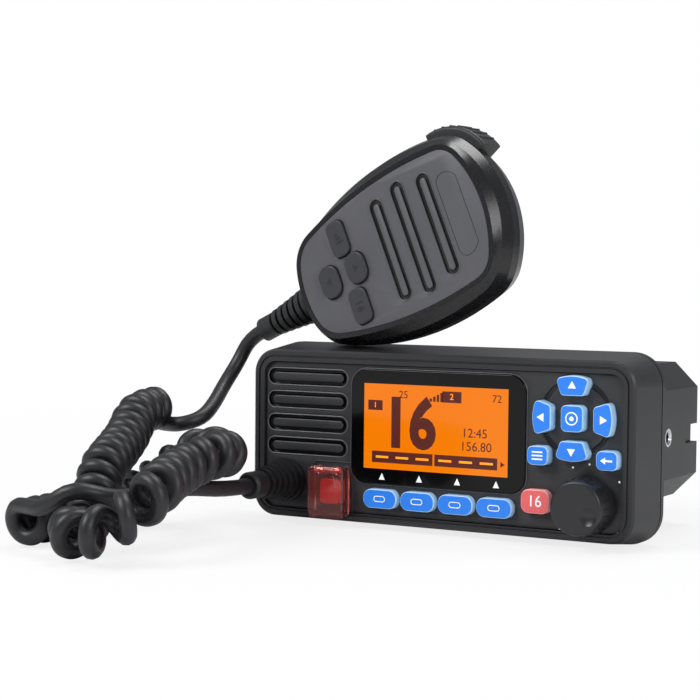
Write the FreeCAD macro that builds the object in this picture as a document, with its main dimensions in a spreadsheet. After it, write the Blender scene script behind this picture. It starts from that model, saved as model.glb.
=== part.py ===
"""Fixed-mount marine VHF radio with a fist microphone on a curly cord.

Millimetres. The front looks along -Y, +X is to the viewer's right and +Z is up.
The origin lies under the middle of the housing's rear edge, on the surface that the
radio stands on.
"""
import FreeCAD
import Part
import Sketcher
import math
import os

DOC = FreeCAD.newDocument("marine_radio")
SHEET = DOC.addObject("Spreadsheet::Sheet", "Sizes")

DIMENSIONS = {
    # front housing
    "face_width": 160.0, "face_height": 65.6, "face_corner": 9.5,
    "flare": 2.4, "lip_corner": 12.0, "face_depth": 22.0, "lip_thick": 2.6,
    "seal_thick": 0.8, "seal_inset": 1.2, "housing_wall": 2.4,
    "rim_width": 2.2, "rim_bevel": 0.8, "groove_width": 0.8, "groove_depth": 0.6,
    # recessed front panel
    "panel_left": 4.8, "panel_right": 4.4, "panel_top": 4.7, "panel_bottom": 3.3,
    "panel_sink": 1.2, "panel_thick": 3.0, "panel_corner": 5.0, "panel_fit": 0.1,
    # die-cast chassis
    "chassis_width": 144.0, "chassis_top": 64.1, "chassis_bottom": 11.1,
    "chassis_rear": 66.4, "chassis_chamfer": 9.4, "chassis_wall": 4.0,
    "rear_wall": 7.0, "deck_rise": 14.2, "fin_pitch": 9.0, "fin_gap": 4.0, "fin_depth": 2.6,
    "notch_length": 13.0, "notch_height": 7.2, "notch_sink": 2.6,
    "insert_radius": 3.5, "insert_bore": 2.1, "insert_length": 7.0,
    "insert_back": 34.0, "insert_height": 36.5,
    # loudspeaker behind its slots
    "slot_length": 36.0, "slot_height": 6.2, "slot_pitch": 9.05, "slot_depth": 2.2,
    "slot_left": 74.0, "slot_top": 57.4, "island_length": 32.0, "island_height": 3.3,
    "speaker_radius": 16.5, "speaker_depth": 9.0, "magnet_radius": 9.0, "magnet_depth": 5.0,
    "cone_sink": 4.0,
    # display
    "lens_width": 73.4, "lens_height": 43.9, "lens_corner": 6.5, "lens_right": 0.8,
    "lens_middle": 39.65, "lens_proud": 0.9, "lens_thick": 3.1,
    "lcd_width": 64.0, "lcd_height": 36.0, "lcd_thick": 3.0, "lcd_corner": 1.0,
    "glow_thick": 0.7,
    # keys
    "key_proud": 2.8, "pad_proud": 4.0, "key_fit": 0.15, "key_flange": 0.5, "key_travel": 0.8,
    "key_round": 0.6, "mat_thick": 1.0, "board_thick": 1.6, "mat_gap": 0.1,
    "soft_width": 14.4, "soft_height": 7.3, "soft_corner": 3.4, "soft_pitch": 16.0,
    "soft_middle": 1.9, "soft_level": 12.3,
    "channel_width": 11.2, "channel_height": 8.8, "channel_corner": 3.0,
    "channel_x": 42.3, "channel_z": 15.9,
    "pad_x": 56.8, "pad_z": 46.9, "pad_inner": 8.2, "pad_outer": 15.5,
    "arrow_narrow": 4.4, "arrow_wide": 6.4, "arrow_round": 1.6,
    "ring_outer": 14.2, "ring_width": 1.6, "ring_depth": 0.8,
    "ok_width": 8.6, "ok_height": 9.6, "ok_corner": 2.0,
    "menu_width": 8.2, "menu_height": 7.0, "menu_corner": 2.2,
    "menu_x": 43.6, "menu_z": 32.9, "back_x": 70.4, "back_z": 32.5,
    # turning and pushing knob
    "knob_x": 62.4, "knob_z": 15.9, "knob_face": 9.7, "knob_skirt": 10.8,
    "knob_reach": 12.0, "knob_lift": 1.2, "knob_shell": 1.8, "knob_hub": 5.0,
    "knob_round": 1.2, "knob_ribs": 24.0, "rib_radius": 0.45,
    "dimple_x": 5.0, "dimple_z": 2.6, "dimple_radius": 2.9, "dimple_depth": 1.0,
    "shaft_radius": 3.0, "shaft_fit": 0.05, "hub_gap": 1.4,
    "bushing_radius": 4.5, "bushing_proud": 1.0, "encoder_side": 13.0,
    # guarded call button
    "guard_left": 51.8, "guard_width": 15.8, "guard_bottom": 3.7, "guard_height": 20.0,
    "guard_depth": 5.4, "guard_wall": 1.1, "guard_corner": 2.2, "guard_gap": 0.3,
    "pin_radius": 0.8, "pin_fit": 0.05, "pin_drop": 1.8, "pin_proud": 2.8,
    "knuckle_radius": 1.6, "knuckle_width": 2.3, "post_width": 1.3,
    "button_width": 8.6, "button_height": 9.6, "button_corner": 1.6,
    "button_x": 43.9, "button_z": 13.8, "button_proud": 3.0,
    "spring_wire": 0.5, "spring_coil": 1.35, "spring_leg": 7.0, "spring_turns": 3.0,
    # cord and its strain reliefs
    "cord_thick": 6.0, "boot_x": 65.2, "boot_z": 16.9, "boot_base": 8.6, "boot_tip": 5.2,
    "boot_length": 28.2, "boot_rib": 1.6, "boot_neck": 5.0, "gland_radius": 8.0,
    "gland_length": 4.5,
    "coil_radius": 5.9, "coil_pitch": 6.9, "coil_pitch_open": 10.5, "coil_run_in": 8.0,
    # rear sockets
    "socket_x": 40.0, "socket_z": 30.0, "socket_radius": 7.9, "socket_length": 14.0,
    "socket_bore": 2.2, "flange_side": 22.0, "flange_thick": 2.0,
    "inlet_x": 36.0, "inlet_radius": 6.0, "inlet_length": 9.0, "inlet_bore": 3.2,
    # microphone
    "mic_x": -13.9, "mic_y": -22.2, "mic_rise": 44.2,
    "mic_turn": 7.93, "mic_lean": 0.63, "mic_roll": 24.35,
    "mic_front": 7.5, "mic_rear": 19.0, "mic_wall": 2.0, "mic_plate": 1.6,
    "mic_slot_width": 6.2, "mic_slot_depth": 1.1, "mic_island_width": 2.7,
    "mic_key_proud": 1.3, "mic_key_travel": 0.8, "mic_boot_length": 30.0,
    "mic_boot_base": 8.0, "mic_boot_tip": 4.9, "mic_boot_back": 12.0,
    "ptt_reach": 21.6, "ptt_thick": 9.6, "ptt_from": 18.0, "ptt_sweep": 78.0,
    "ptt_width": 12.0, "ptt_back": 9.5, "ptt_travel": 1.6, "ptt_ribs": 7.0,
}


class Size:
    """A number with the sheet expression that gives it."""

    def __init__(self, value, text):
        self.value = float(value)
        self.text = text

    def join(self, other, sign, value):
        right = other.text if isinstance(other, Size) else repr(float(other))
        return Size(value, f"({self.text} {sign} {right})")

    def __float__(self):
        return self.value

    def __add__(self, other):
        return self.join(other, "+", self.value + float(other))

    def __sub__(self, other):
        return self.join(other, "-", self.value - float(other))

    def __mul__(self, other):
        return self.join(other, "*", self.value * float(other))

    def __truediv__(self, other):
        return self.join(other, "/", self.value / float(other))

    def __neg__(self):
        return Size(-self.value, f"(0 - {self.text})")

    def __radd__(self, other):
        return Size(other, repr(float(other))) + self

    def __rsub__(self, other):
        return Size(other, repr(float(other))) - self

    def __rmul__(self, other):
        return Size(other, repr(float(other))) * self


class Sizes:
    """Every driving dimension, by name, as written in the sheet."""


def write_sheet():
    sizes = Sizes()
    for row, (name, value) in enumerate(DIMENSIONS.items(), start=1):
        SHEET.set(f"A{row}", name)
        SHEET.set(f"B{row}", repr(value))
        SHEET.setAlias(f"B{row}", name)
        setattr(sizes, name, Size(value, f"Sizes.{name}"))
    DOC.recompute()
    return sizes


s = write_sheet()


def bind(target, prop, size):
    """Tie a property to its size, or set it where the size is a plain number."""
    text = size.text if isinstance(size, Size) else repr(float(size))
    target.setExpression(prop, text)


# Outlines on a sketch that looks at the front: x to the right, z up.

def rounded_box(x, z, width, height, corner):
    """A rectangle with round corners, centred on x, z."""
    def draw(sketch):
        left, right = float(x) - float(width) / 2, float(x) + float(width) / 2
        low, high = float(z) - float(height) / 2, float(z) + float(height) / 2
        r = float(corner)
        point = FreeCAD.Vector
        up = point(0, 0, 1)
        first = sketch.GeometryCount
        lines = [
            (point(left + r, low), point(right - r, low)),
            (point(right, low + r), point(right, high - r)),
            (point(right - r, high), point(left + r, high)),
            (point(left, high - r), point(left, low + r)),
        ]
        centres = [(right - r, low + r, -90), (right - r, high - r, 0),
                   (left + r, high - r, 90), (left + r, low + r, 180)]
        for start, end in lines:
            sketch.addGeometry(Part.LineSegment(start, end))
        for cx, cz, angle in centres:
            circle = Part.Circle(point(cx, cz), up, r)
            begin = math.radians(angle)
            sketch.addGeometry(Part.ArcOfCircle(circle, begin, begin + math.pi / 2))
        line = [first + i for i in range(4)]
        arc = [first + 4 + i for i in range(4)]
        rule = Sketcher.Constraint
        for i in range(4):
            sketch.addConstraint(rule("Tangent", line[i], 2, arc[i], 1))
            sketch.addConstraint(rule("Tangent", arc[i], 2, line[(i + 1) % 4], 1))
        for i in (0, 2):
            sketch.addConstraint(rule("Horizontal", line[i]))
            sketch.addConstraint(rule("Vertical", line[i + 1]))
        for i in (1, 2, 3):
            sketch.addConstraint(rule("Equal", arc[0], arc[i]))
        half_width = width / 2 if isinstance(width, Size) else float(width) / 2
        half_height = height / 2 if isinstance(height, Size) else float(height) / 2
        wanted = [
            (rule("Radius", arc[0], r), corner),
            (rule("DistanceX", -1, 1, line[3], 1, left), x - half_width),
            (rule("DistanceY", -1, 1, line[0], 1, low), z - half_height),
            (rule("DistanceX", line[3], 1, line[1], 1, right - left), width),
            (rule("DistanceY", line[0], 1, line[2], 1, high - low), height),
        ]
        for constraint, size in wanted:
            index = sketch.addConstraint(constraint)
            if isinstance(size, Size):
                bind(sketch, f"Constraints[{index}]", size)
    return draw


def circle(x, z, radius):
    """A circle centred on x, z."""
    def draw(sketch):
        centre = FreeCAD.Vector(float(x), float(z))
        index = sketch.addGeometry(Part.Circle(centre, FreeCAD.Vector(0, 0, 1), float(radius)))
        rule = Sketcher.Constraint
        wanted = [
            (rule("Radius", index, float(radius)), radius),
            (rule("DistanceX", -1, 1, index, 3, float(x)), x),
            (rule("DistanceY", -1, 1, index, 3, float(z)), z),
        ]
        for constraint, size in wanted:
            number = sketch.addConstraint(constraint)
            if isinstance(size, Size):
                bind(sketch, f"Constraints[{number}]", size)
    return draw


class FrontPiece:
    """A body whose outlines are drawn looking at the front and run along Y."""

    def __init__(self, label):
        self.label = label
        self.body = DOC.addObject("PartDesign::Body", label)
        self.body.Label = label
        self.count = 0

    def plane(self):
        return next(item for item in self.body.Origin.OriginFeatures
                    if item.Role == "XZ_Plane")

    def sketch(self, outlines, y):
        self.count += 1
        sketch = self.body.newObject("Sketcher::SketchObject",
                                     f"{self.label}_outline_{self.count}")
        sketch.AttachmentSupport = [(self.plane(), "")]
        sketch.MapMode = "FlatFace"
        bind(sketch, "AttachmentOffset.Base.z", -y if isinstance(y, Size) else -float(y))
        for outline in outlines:
            outline(sketch)
        sketch.Visibility = False
        return sketch

    def pad(self, outlines, y_rear, y_front):
        """Solid between two depths."""
        sketch = self.sketch(outlines, y_rear)
        pad = self.body.newObject("PartDesign::Pad", f"{self.label}_pad_{self.count}")
        pad.Profile = sketch
        bind(pad, "Length", y_rear - y_front)
        DOC.recompute()
        return pad

    def pocket(self, outlines, y_front, depth):
        """Cut inwards from a depth."""
        before = self.body.Shape.Volume
        sketch = self.sketch(outlines, y_front)
        pocket = self.body.newObject("PartDesign::Pocket", f"{self.label}_cut_{self.count}")
        pocket.Profile = sketch
        bind(pocket, "Length", depth)
        DOC.recompute()
        assert self.body.Shape.Volume < before, f"{self.label}: a cut removed nothing"
        return pocket

    def loft(self, sections):
        """Solid that changes evenly from one outline to the next."""
        drawn = [self.sketch([outline], y) for outline, y in sections]
        loft = self.body.newObject("PartDesign::AdditiveLoft", f"{self.label}_loft")
        loft.Profile = drawn[0]
        loft.Sections = drawn[1:]
        loft.Ruled = True
        DOC.recompute()
        return loft

    def edges(self, wanted):
        shape = self.body.Shape
        return [f"Edge{i}" for i, edge in enumerate(shape.Edges, start=1) if wanted(edge)]

    def dress(self, kind, wanted, size):
        """Round or bevel the edges that a test picks."""
        names = self.edges(wanted)
        tip = self.body.Tip
        feature = self.body.newObject(f"PartDesign::{kind}", f"{self.label}_{kind}")
        feature.Base = (tip, names)
        bind(feature, "Radius" if kind == "Fillet" else "Size", size)
        DOC.recompute()
        return feature

    def round_front(self, y, size, wanted=lambda edge: True):
        depth = float(y)
        self.dress("Fillet", lambda edge: flat_at(edge, depth) and wanted(edge), size)


def flat_at(edge, y):
    box = edge.BoundBox
    return abs(box.YMin - y) < 1e-4 and abs(box.YMax - y) < 1e-4


def along_y(edge):
    box = edge.BoundBox
    return box.XLength < 1e-4 and box.ZLength < 1e-4


def part_feature(label, shape, placement=None):
    """A piece whose shape no sketch or primitive gives."""
    piece = DOC.addObject("Part::Feature", label)
    piece.Label = label
    piece.Shape = shape
    if placement is not None:
        piece.Placement = placement
    return piece


def cylinder_y(radius, y_front, y_rear, x=0.0, z=0.0):
    """A round bar along Y."""
    start = FreeCAD.Vector(float(x), float(y_front), float(z))
    return Part.makeCylinder(float(radius), float(y_rear) - float(y_front), start,
                             FreeCAD.Vector(0, 1, 0))


def cone_y(front_radius, rear_radius, y_front, y_rear, x=0.0, z=0.0):
    start = FreeCAD.Vector(float(x), float(y_front), float(z))
    return Part.makeCone(float(front_radius), float(rear_radius),
                         float(y_rear) - float(y_front), start, FreeCAD.Vector(0, 1, 0))


def block(x0, x1, y0, y1, z0, z1):
    corner = FreeCAD.Vector(float(x0), float(y0), float(z0))
    return Part.makeBox(float(x1) - float(x0), float(y1) - float(y0),
                        float(z1) - float(z0), corner)


NODES = []


def keep(piece):
    NODES.append(piece)
    return piece


# Depths that the pieces share.

FACE_Y = -s.face_depth
PANEL_Y = FACE_Y + s.panel_sink
PANEL_REAR = PANEL_Y + s.panel_thick
SEAL_Y = -(s.lip_thick / 2) - s.seal_thick
LIP_Y = -(s.lip_thick / 2)
LIP_REAR = s.lip_thick / 2
MIDDLE_Z = s.flare + s.face_height / 2
PANEL_WIDTH = s.face_width - s.panel_left - s.panel_right
PANEL_HEIGHT = s.face_height - s.panel_top - s.panel_bottom
PANEL_X = (s.panel_left - s.panel_right) / 2
PANEL_Z = MIDDLE_Z + (s.panel_bottom - s.panel_top) / 2
DECK_Z = s.chassis_bottom + s.deck_rise
PIN_Y = PANEL_Y - s.pin_proud
PIN_Z = s.guard_bottom + s.guard_height - s.pin_drop
FLANGE_Y = PANEL_REAR + 0.2
MAT_Y = FLANGE_Y + s.key_flange + s.key_travel + s.mat_gap
BOARD_Y = MAT_Y + s.mat_thick
BOARD_REAR = BOARD_Y + s.board_thick


def lip_outline(grow=0.0):
    return rounded_box(0.0, MIDDLE_Z, s.face_width + s.flare * 2 + grow * 2,
                       s.face_height + s.flare * 2 + grow * 2, s.lip_corner + grow)


def face_outline(inset):
    return rounded_box(0.0, MIDDLE_Z, s.face_width - inset * 2,
                       s.face_height - inset * 2, s.face_corner - inset)


def front_housing():
    piece = FrontPiece("front_housing")
    piece.loft([(face_outline(s.rim_bevel), FACE_Y),
                (face_outline(s.rim_bevel * 0), FACE_Y + s.rim_bevel),
                (lip_outline(), SEAL_Y)])
    cavity = rounded_box(0.0, MIDDLE_Z, s.face_width - s.housing_wall * 2,
                         s.face_height - s.housing_wall * 2, s.face_corner - s.housing_wall)
    piece.pocket([cavity], PANEL_REAR, s.face_depth)
    opening = rounded_box(PANEL_X, PANEL_Z, PANEL_WIDTH, PANEL_HEIGHT, s.panel_corner)
    piece.pocket([opening], FACE_Y, s.panel_sink + s.panel_thick + 0.2)
    piece.pocket([face_outline(s.rim_width), face_outline(s.rim_width + s.groove_width)],
                 FACE_Y, s.groove_depth)
    return keep(piece.body)


def housing_seal():
    piece = FrontPiece("housing_seal")
    outer = lip_outline(-s.seal_inset)
    inner = lip_outline(-(s.seal_inset + s.housing_wall))
    piece.pad([outer, inner], LIP_Y, SEAL_Y)
    return keep(piece.body)


def front_panel():
    piece = FrontPiece("front_panel")
    plate = rounded_box(PANEL_X, PANEL_Z, PANEL_WIDTH - s.panel_fit * 2,
                        PANEL_HEIGHT - s.panel_fit * 2, s.panel_corner - s.panel_fit)
    piece.pad([plate], PANEL_REAR, PANEL_Y)
    lens_hole = rounded_box(s.lens_right, s.lens_middle, s.lens_width + s.panel_fit * 2,
                            s.lens_height + s.panel_fit * 2, s.lens_corner + s.panel_fit)
    holes = [lens_hole, circle(-s.boot_x, s.boot_z, s.boot_neck + s.panel_fit)]
    for key in KEYS:
        if key["kind"] == "box":
            holes.append(rounded_box(key["x"], key["z"], key["w"] + s.key_fit * 2,
                                     key["h"] + s.key_fit * 2, key["r"] + s.key_fit))
    piece.pocket(holes, PANEL_Y, s.panel_thick + 0.2)
    slots = []
    for row in range(4):
        level = s.slot_top - s.slot_pitch * float(row)
        middle = s.slot_length / 2 - s.slot_left
        slots.append(rounded_box(middle, level, s.slot_length, s.slot_height,
                                 s.slot_height * 0.47))
        slots.append(rounded_box(middle, level, s.island_length, s.island_height,
                                 s.island_height * 0.47))
    piece.pocket(slots, PANEL_Y, s.slot_depth)
    piece.pocket([circle(s.knob_x, s.knob_z, s.bushing_radius + s.panel_fit)],
                 PANEL_Y, s.panel_thick + 0.2)
    piece.pocket([circle(s.pad_x, s.pad_z, s.ring_outer),
                  circle(s.pad_x, s.pad_z, s.ring_outer - s.ring_width)],
                 PANEL_Y, s.ring_depth)
    DOC.recompute()
    shape = piece.body.Shape
    for key in KEYS:
        if key["kind"] == "arrow":
            hole = arrow_solid(key["turn"], float(s.key_fit), float(PANEL_Y) - 1,
                               float(PANEL_REAR) + 1)
            shape = shape.cut(hole)
    posts = guard_posts()
    piece.body.Label = "front_panel_blank"
    return keep(part_feature("front_panel", shape.fuse(posts).removeSplitter()))


def guard_posts():
    """Two ears on the panel that carry the guard's pin."""
    pin_y, pin_z = float(PIN_Y), float(PIN_Z)
    nose = float(s.knuckle_radius) - 0.2
    ears = []
    for x0 in post_starts():
        ear = block(x0, x0 + float(s.post_width), pin_y, float(PANEL_Y) + 0.5,
                    pin_z - nose, pin_z + nose)
        tip = cylinder_x(nose, x0, x0 + float(s.post_width), pin_y, pin_z)
        ears.append(ear.fuse(tip))
    hole = cylinder_x(s.pin_radius, -float(s.guard_left), 0.0, pin_y, pin_z)
    return ears[0].fuse(ears[1]).cut(hole)


def post_starts():
    """Left sides of the two ears, just inside the guard's walls."""
    left = -float(s.guard_left) + float(s.guard_wall) + 0.2
    right = left + float(s.guard_width) - 2 * float(s.guard_wall) - 0.4
    return left, right - float(s.post_width)


def arrow_solid(turn, grow, y0, y1):
    """One of the four keys round the middle: a wedge with an arched outer side."""
    inner = float(s.pad_inner) - grow
    outer = float(s.pad_outer) + grow
    narrow = float(s.arrow_narrow) + grow
    wide = float(s.arrow_wide) + grow
    rise = math.sqrt(outer ** 2 - wide ** 2)
    point = FreeCAD.Vector
    corners = [point(-narrow, 0, inner), point(narrow, 0, inner),
               point(wide, 0, rise), point(-wide, 0, rise)]
    edges = [Part.makeLine(corners[0], corners[1]), Part.makeLine(corners[1], corners[2]),
             Part.Arc(corners[2], point(0, 0, outer), corners[3]).toShape(),
             Part.makeLine(corners[3], corners[0])]
    face = Part.Face(Part.Wire(edges))
    solid = face.extrude(point(0, y1 - y0, 0))
    sides = [edge for edge in solid.Edges if along_y(edge)]
    solid = solid.makeFillet(float(s.arrow_round) + grow, sides)
    solid.translate(point(0, y0, 0))
    solid.rotate(point(0, 0, 0), point(0, 1, 0), turn)
    solid.translate(point(float(s.pad_x), 0, float(s.pad_z)))
    return solid


def key_list():
    keys = []
    for i in range(4):
        place = s.soft_middle + s.soft_pitch * (i - 1.5)
        keys.append(dict(name=f"soft_key_{i + 1}", kind="box", x=place, z=s.soft_level,
                         w=s.soft_width, h=s.soft_height, r=s.soft_corner))
    keys.append(dict(name="channel_key", kind="box", x=s.channel_x, z=s.channel_z,
                     w=s.channel_width, h=s.channel_height, r=s.channel_corner))
    keys.append(dict(name="enter_key", kind="box", x=s.pad_x, z=s.pad_z,
                     w=s.ok_width, h=s.ok_height, r=s.ok_corner))
    for name, x, z in (("menu_key", s.menu_x, s.menu_z), ("back_key", s.back_x, s.back_z)):
        keys.append(dict(name=name, kind="box", x=x, z=z, w=s.menu_width,
                         h=s.menu_height, r=s.menu_corner))
    keys.append(dict(name="distress_button", kind="box", x=-s.button_x, z=s.button_z,
                     w=s.button_width, h=s.button_height, r=s.button_corner))
    for name, turn in (("up_key", 0), ("right_key", 90), ("down_key", 180), ("left_key", 270)):
        keys.append(dict(name=name, kind="arrow", turn=turn))
    return keys


KEYS = key_list()


def key_top(key):
    """Depth of a key's front face."""
    if key["name"] == "distress_button":
        return PANEL_Y - s.button_proud
    if key["kind"] == "arrow" or key["name"] in ("enter_key", "menu_key", "back_key"):
        return PANEL_Y - s.pad_proud
    return PANEL_Y - s.key_proud


def panel_key(key):
    """A cap through the panel with a flange behind it that stops it falling out."""
    top = key_top(key)
    if key["kind"] == "box":
        piece = FrontPiece(key["name"])
        flange = rounded_box(key["x"], key["z"], key["w"] + s.key_flange * 2,
                             key["h"] + s.key_flange * 2, key["r"] + s.key_flange)
        cap = rounded_box(key["x"], key["z"], key["w"], key["h"], key["r"])
        piece.pad([flange], FLANGE_Y + s.key_flange, FLANGE_Y)
        piece.pad([cap], FLANGE_Y, top)
        piece.round_front(top, s.key_round)
        return keep(piece.body)
    cap = arrow_solid(key["turn"], 0.0, float(top), float(FLANGE_Y) + 0.1)
    rim = [edge for edge in cap.Edges if flat_at(edge, float(top))]
    cap = cap.makeFillet(float(s.key_round), rim)
    flange = arrow_solid(key["turn"], float(s.key_flange), float(FLANGE_Y),
                         float(FLANGE_Y) + float(s.key_flange))
    return keep(part_feature(key["name"], cap.fuse(flange).removeSplitter()))


def display():
    lens = FrontPiece("display_lens")
    outline = rounded_box(s.lens_right, s.lens_middle, s.lens_width, s.lens_height,
                          s.lens_corner)
    lens_y = PANEL_Y - s.lens_proud
    lens.pad([outline], lens_y + s.lens_thick, lens_y)
    lens.round_front(lens_y, s.lens_proud * 0.5)
    keep(lens.body)
    lcd_y = lens_y + s.lens_thick
    lcd = FrontPiece("lcd_module")
    outline = rounded_box(s.lens_right, s.lens_middle, s.lcd_width, s.lcd_height, s.lcd_corner)
    lcd.pad([outline], lcd_y + s.lcd_thick, lcd_y)
    keep(lcd.body)
    glow = FrontPiece("backlight")
    outline = rounded_box(s.lens_right, s.lens_middle, s.lcd_width - 2, s.lcd_height - 2,
                          s.lcd_corner)
    glow.pad([outline], BOARD_Y, lcd_y + s.lcd_thick)
    keep(glow.body)


def boards():
    mat = FrontPiece("keypad_mat")
    low = rounded_box(s.soft_middle, s.soft_level + 0.2, s.soft_pitch * 4 + 2.0, 8.6, 1.0)
    mat.pad([low], BOARD_Y, MAT_Y)
    tall = rounded_box(s.pad_x, s.pad_z - 3.0, 37.4, 39.0, 2.0)
    bridge = rounded_box(s.channel_x, s.channel_z + 2.0, 18.0, 18.0, 1.5)
    mat.pad([bridge], BOARD_Y, MAT_Y)
    mat.pad([tall], BOARD_Y, MAT_Y)
    keep(mat.body)
    board = FrontPiece("front_board")
    wide = rounded_box(19.5, MIDDLE_Z, 109.0, s.face_height - 9.6, 2.0)
    tongue = rounded_box(-43.0, 14.6, 22.0, 16.0, 1.5)
    board.pad([wide], BOARD_REAR, BOARD_Y)
    board.pad([tongue], BOARD_REAR, BOARD_Y)
    keep(board.body)
    switch = FrontPiece("distress_switch")
    switch_y = FLANGE_Y + s.key_flange + s.key_travel + s.mat_gap
    switch.pad([rounded_box(-s.button_x, s.button_z, 6.0, 6.0, 0.8)], BOARD_Y, switch_y)
    keep(switch.body)
    radio_board = FrontPiece("radio_board")
    deck = rounded_box(0.0, DECK_Z + s.board_thick / 2, s.chassis_width - s.chassis_wall * 2 - 8,
                       s.board_thick, 0.4)
    radio_board.pad([deck], s.chassis_rear - s.rear_wall, LIP_REAR + 2.0)
    keep(radio_board.body)
    can = FrontPiece("shield_can")
    can_high = 9.0
    can.pad([rounded_box(-20.0, DECK_Z + s.board_thick + can_high / 2, 56.0, can_high, 1.0)],
            48.0, 10.0)
    keep(can.body)


def loudspeaker():
    x = s.slot_length / 2 - s.slot_left
    z = s.slot_top - s.slot_pitch * 1.5
    frame = FrontPiece("speaker_frame")
    rear = PANEL_REAR + s.speaker_depth
    frame.pad([circle(x, z, s.speaker_radius)], rear, PANEL_REAR)
    frame.pocket([circle(x, z, s.speaker_radius - 1.5)], PANEL_REAR, s.speaker_depth - 1.2)
    frame.pocket([circle(x, z, s.magnet_radius * 0.7)], rear - 1.5, 2.0)
    keep(frame.body)
    magnet = FrontPiece("speaker_magnet")
    magnet.pad([circle(x, z, s.magnet_radius)], rear + s.magnet_depth, rear)
    keep(magnet.body)
    outer = float(s.speaker_radius) - 1.6
    neck = float(s.magnet_radius) * 0.5
    front = float(PANEL_REAR) + 0.3
    depth = float(s.cone_sink)
    skin = 0.5
    cone = cone_y(outer, neck, front, front + depth, x, z)
    inner = cone_y(outer - skin, neck - skin, front - 0.01, front + depth - skin, x, z)
    former = cylinder_y(neck, front + depth - 0.2, rear, x, z)
    cone = cone.cut(inner).fuse(former).removeSplitter()
    keep(part_feature("speaker_cone", cone))


def knob():
    """A ribbed cap that turns on the encoder's shaft."""
    x, z = float(s.knob_x), float(s.knob_z)
    face = float(FACE_Y) - float(s.knob_reach)
    rear = float(FACE_Y) - float(s.knob_lift)
    skirt_front = rear - 5.0
    body = cone_y(s.knob_face, float(s.knob_face) + 0.7, face, skirt_front, x, z)
    flange = cone_y(float(s.knob_face) + 0.7, s.knob_skirt, skirt_front, rear, x, z)
    body = body.fuse(flange).removeSplitter()
    rim = [edge for edge in body.Edges if flat_at(edge, face)]
    body = body.makeFillet(float(s.knob_round), rim)
    ribs = []
    count = int(float(s.knob_ribs))
    for i in range(count):
        angle = 2 * math.pi * i / count
        reach = float(s.knob_face) + 0.45
        ribs.append(cylinder_y(s.rib_radius, face + 3.0, skirt_front + 1.0,
                               x + reach * math.cos(angle), z + reach * math.sin(angle)))
    body = body.fuse(ribs)
    hollow = cylinder_y(float(s.knob_face) - float(s.knob_shell), face + 2.6, rear + 1, x, z)
    hub_rear = float(FACE_Y) - float(s.bushing_proud) - float(s.hub_gap)
    hub = cylinder_y(s.knob_hub, face + 2.6, hub_rear, x, z)
    body = body.cut(hollow.cut(hub))
    bore = cylinder_y(float(s.shaft_radius) + float(s.shaft_fit), face + 3.1, rear + 1, x, z)
    body = body.cut(bore)
    dip = Part.makeSphere(6.0, FreeCAD.Vector(x + float(s.dimple_x),
                                              face - 6.0 + float(s.dimple_depth),
                                              z - float(s.dimple_z)))
    body = body.cut(dip)
    keep(part_feature("channel_knob", body))
    shaft = FrontPiece("knob_shaft")
    shaft_front = FACE_Y - s.knob_reach + 3.2
    shaft.pad([circle(s.knob_x, s.knob_z, s.shaft_radius)], BOARD_Y - s.hub_gap,
              shaft_front)
    keep(shaft.body)
    encoder = FrontPiece("rotary_encoder")
    case = rounded_box(s.knob_x, s.knob_z, s.encoder_side, s.encoder_side, 1.0)
    encoder.pad([case], BOARD_Y, PANEL_REAR)
    encoder.pad([circle(s.knob_x, s.knob_z, s.bushing_radius)], PANEL_REAR,
                FACE_Y - s.bushing_proud)
    encoder.pocket([circle(s.knob_x, s.knob_z, s.shaft_radius + s.shaft_fit)],
                   FACE_Y - s.bushing_proud - 1.0, BOARD_Y - FACE_Y + s.bushing_proud + 0.7)
    keep(encoder.body)


def call_guard():
    """Clear flip-up cover, its pin and the spring that closes it."""
    left = -float(s.guard_left)
    right = left + float(s.guard_width)
    low = float(s.guard_bottom)
    high = low + float(s.guard_height)
    back = float(FACE_Y) - float(s.guard_gap)
    front = back - float(s.guard_depth)
    wall = float(s.guard_wall)
    pin_y, pin_z = float(PIN_Y), float(PIN_Z)
    shell = block(left, right, front, back, low, high)
    corners = [edge for edge in shell.Edges if along_y(edge)]
    shell = shell.makeFillet(float(s.guard_corner), corners)
    rim = [edge for edge in shell.Edges if flat_at(edge, front)]
    shell = shell.makeFillet(wall * 0.8, rim)
    inside = block(left + wall, right - wall, front + wall, back + 1, low + wall, high - wall)
    top_gap = block(left + wall, right - wall, front + wall, back + 1, high - wall - 1, high + 1)
    shell = shell.cut(inside).cut(top_gap)
    first_post, last_post = post_starts()
    knuckle_first = first_post + float(s.post_width) + 0.15
    knuckle_last = last_post - 0.15 - float(s.knuckle_width)
    reach = float(s.knuckle_radius)
    for x0 in (knuckle_first, knuckle_last):
        x1 = x0 + float(s.knuckle_width)
        arm = block(x0, x1, front + wall * 0.5, pin_y, pin_z - reach, pin_z + reach)
        shell = shell.fuse(arm).fuse(cylinder_x(reach, x0, x1, pin_y, pin_z))
    bore = float(s.pin_radius) + float(s.pin_fit)
    shell = shell.cut(cylinder_x(bore, knuckle_first - 0.1, knuckle_last + 3, pin_y, pin_z))
    keep(part_feature("distress_cover", shell.removeSplitter()))
    pin = DOC.addObject("Part::Cylinder", "cover_pin")
    pin.Label = "cover_pin"
    bind(pin, "Radius", s.pin_radius)
    bind(pin, "Height", s.guard_width - s.guard_wall * 2 - 0.4)
    pin.Placement = FreeCAD.Placement(FreeCAD.Vector(first_post, pin_y, pin_z),
                                      FreeCAD.Rotation(FreeCAD.Vector(0, 1, 0), 90))
    keep(pin)
    cover_spring(knuckle_first + float(s.knuckle_width) + 0.15, knuckle_last - 0.15,
                 pin_y, pin_z)


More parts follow.
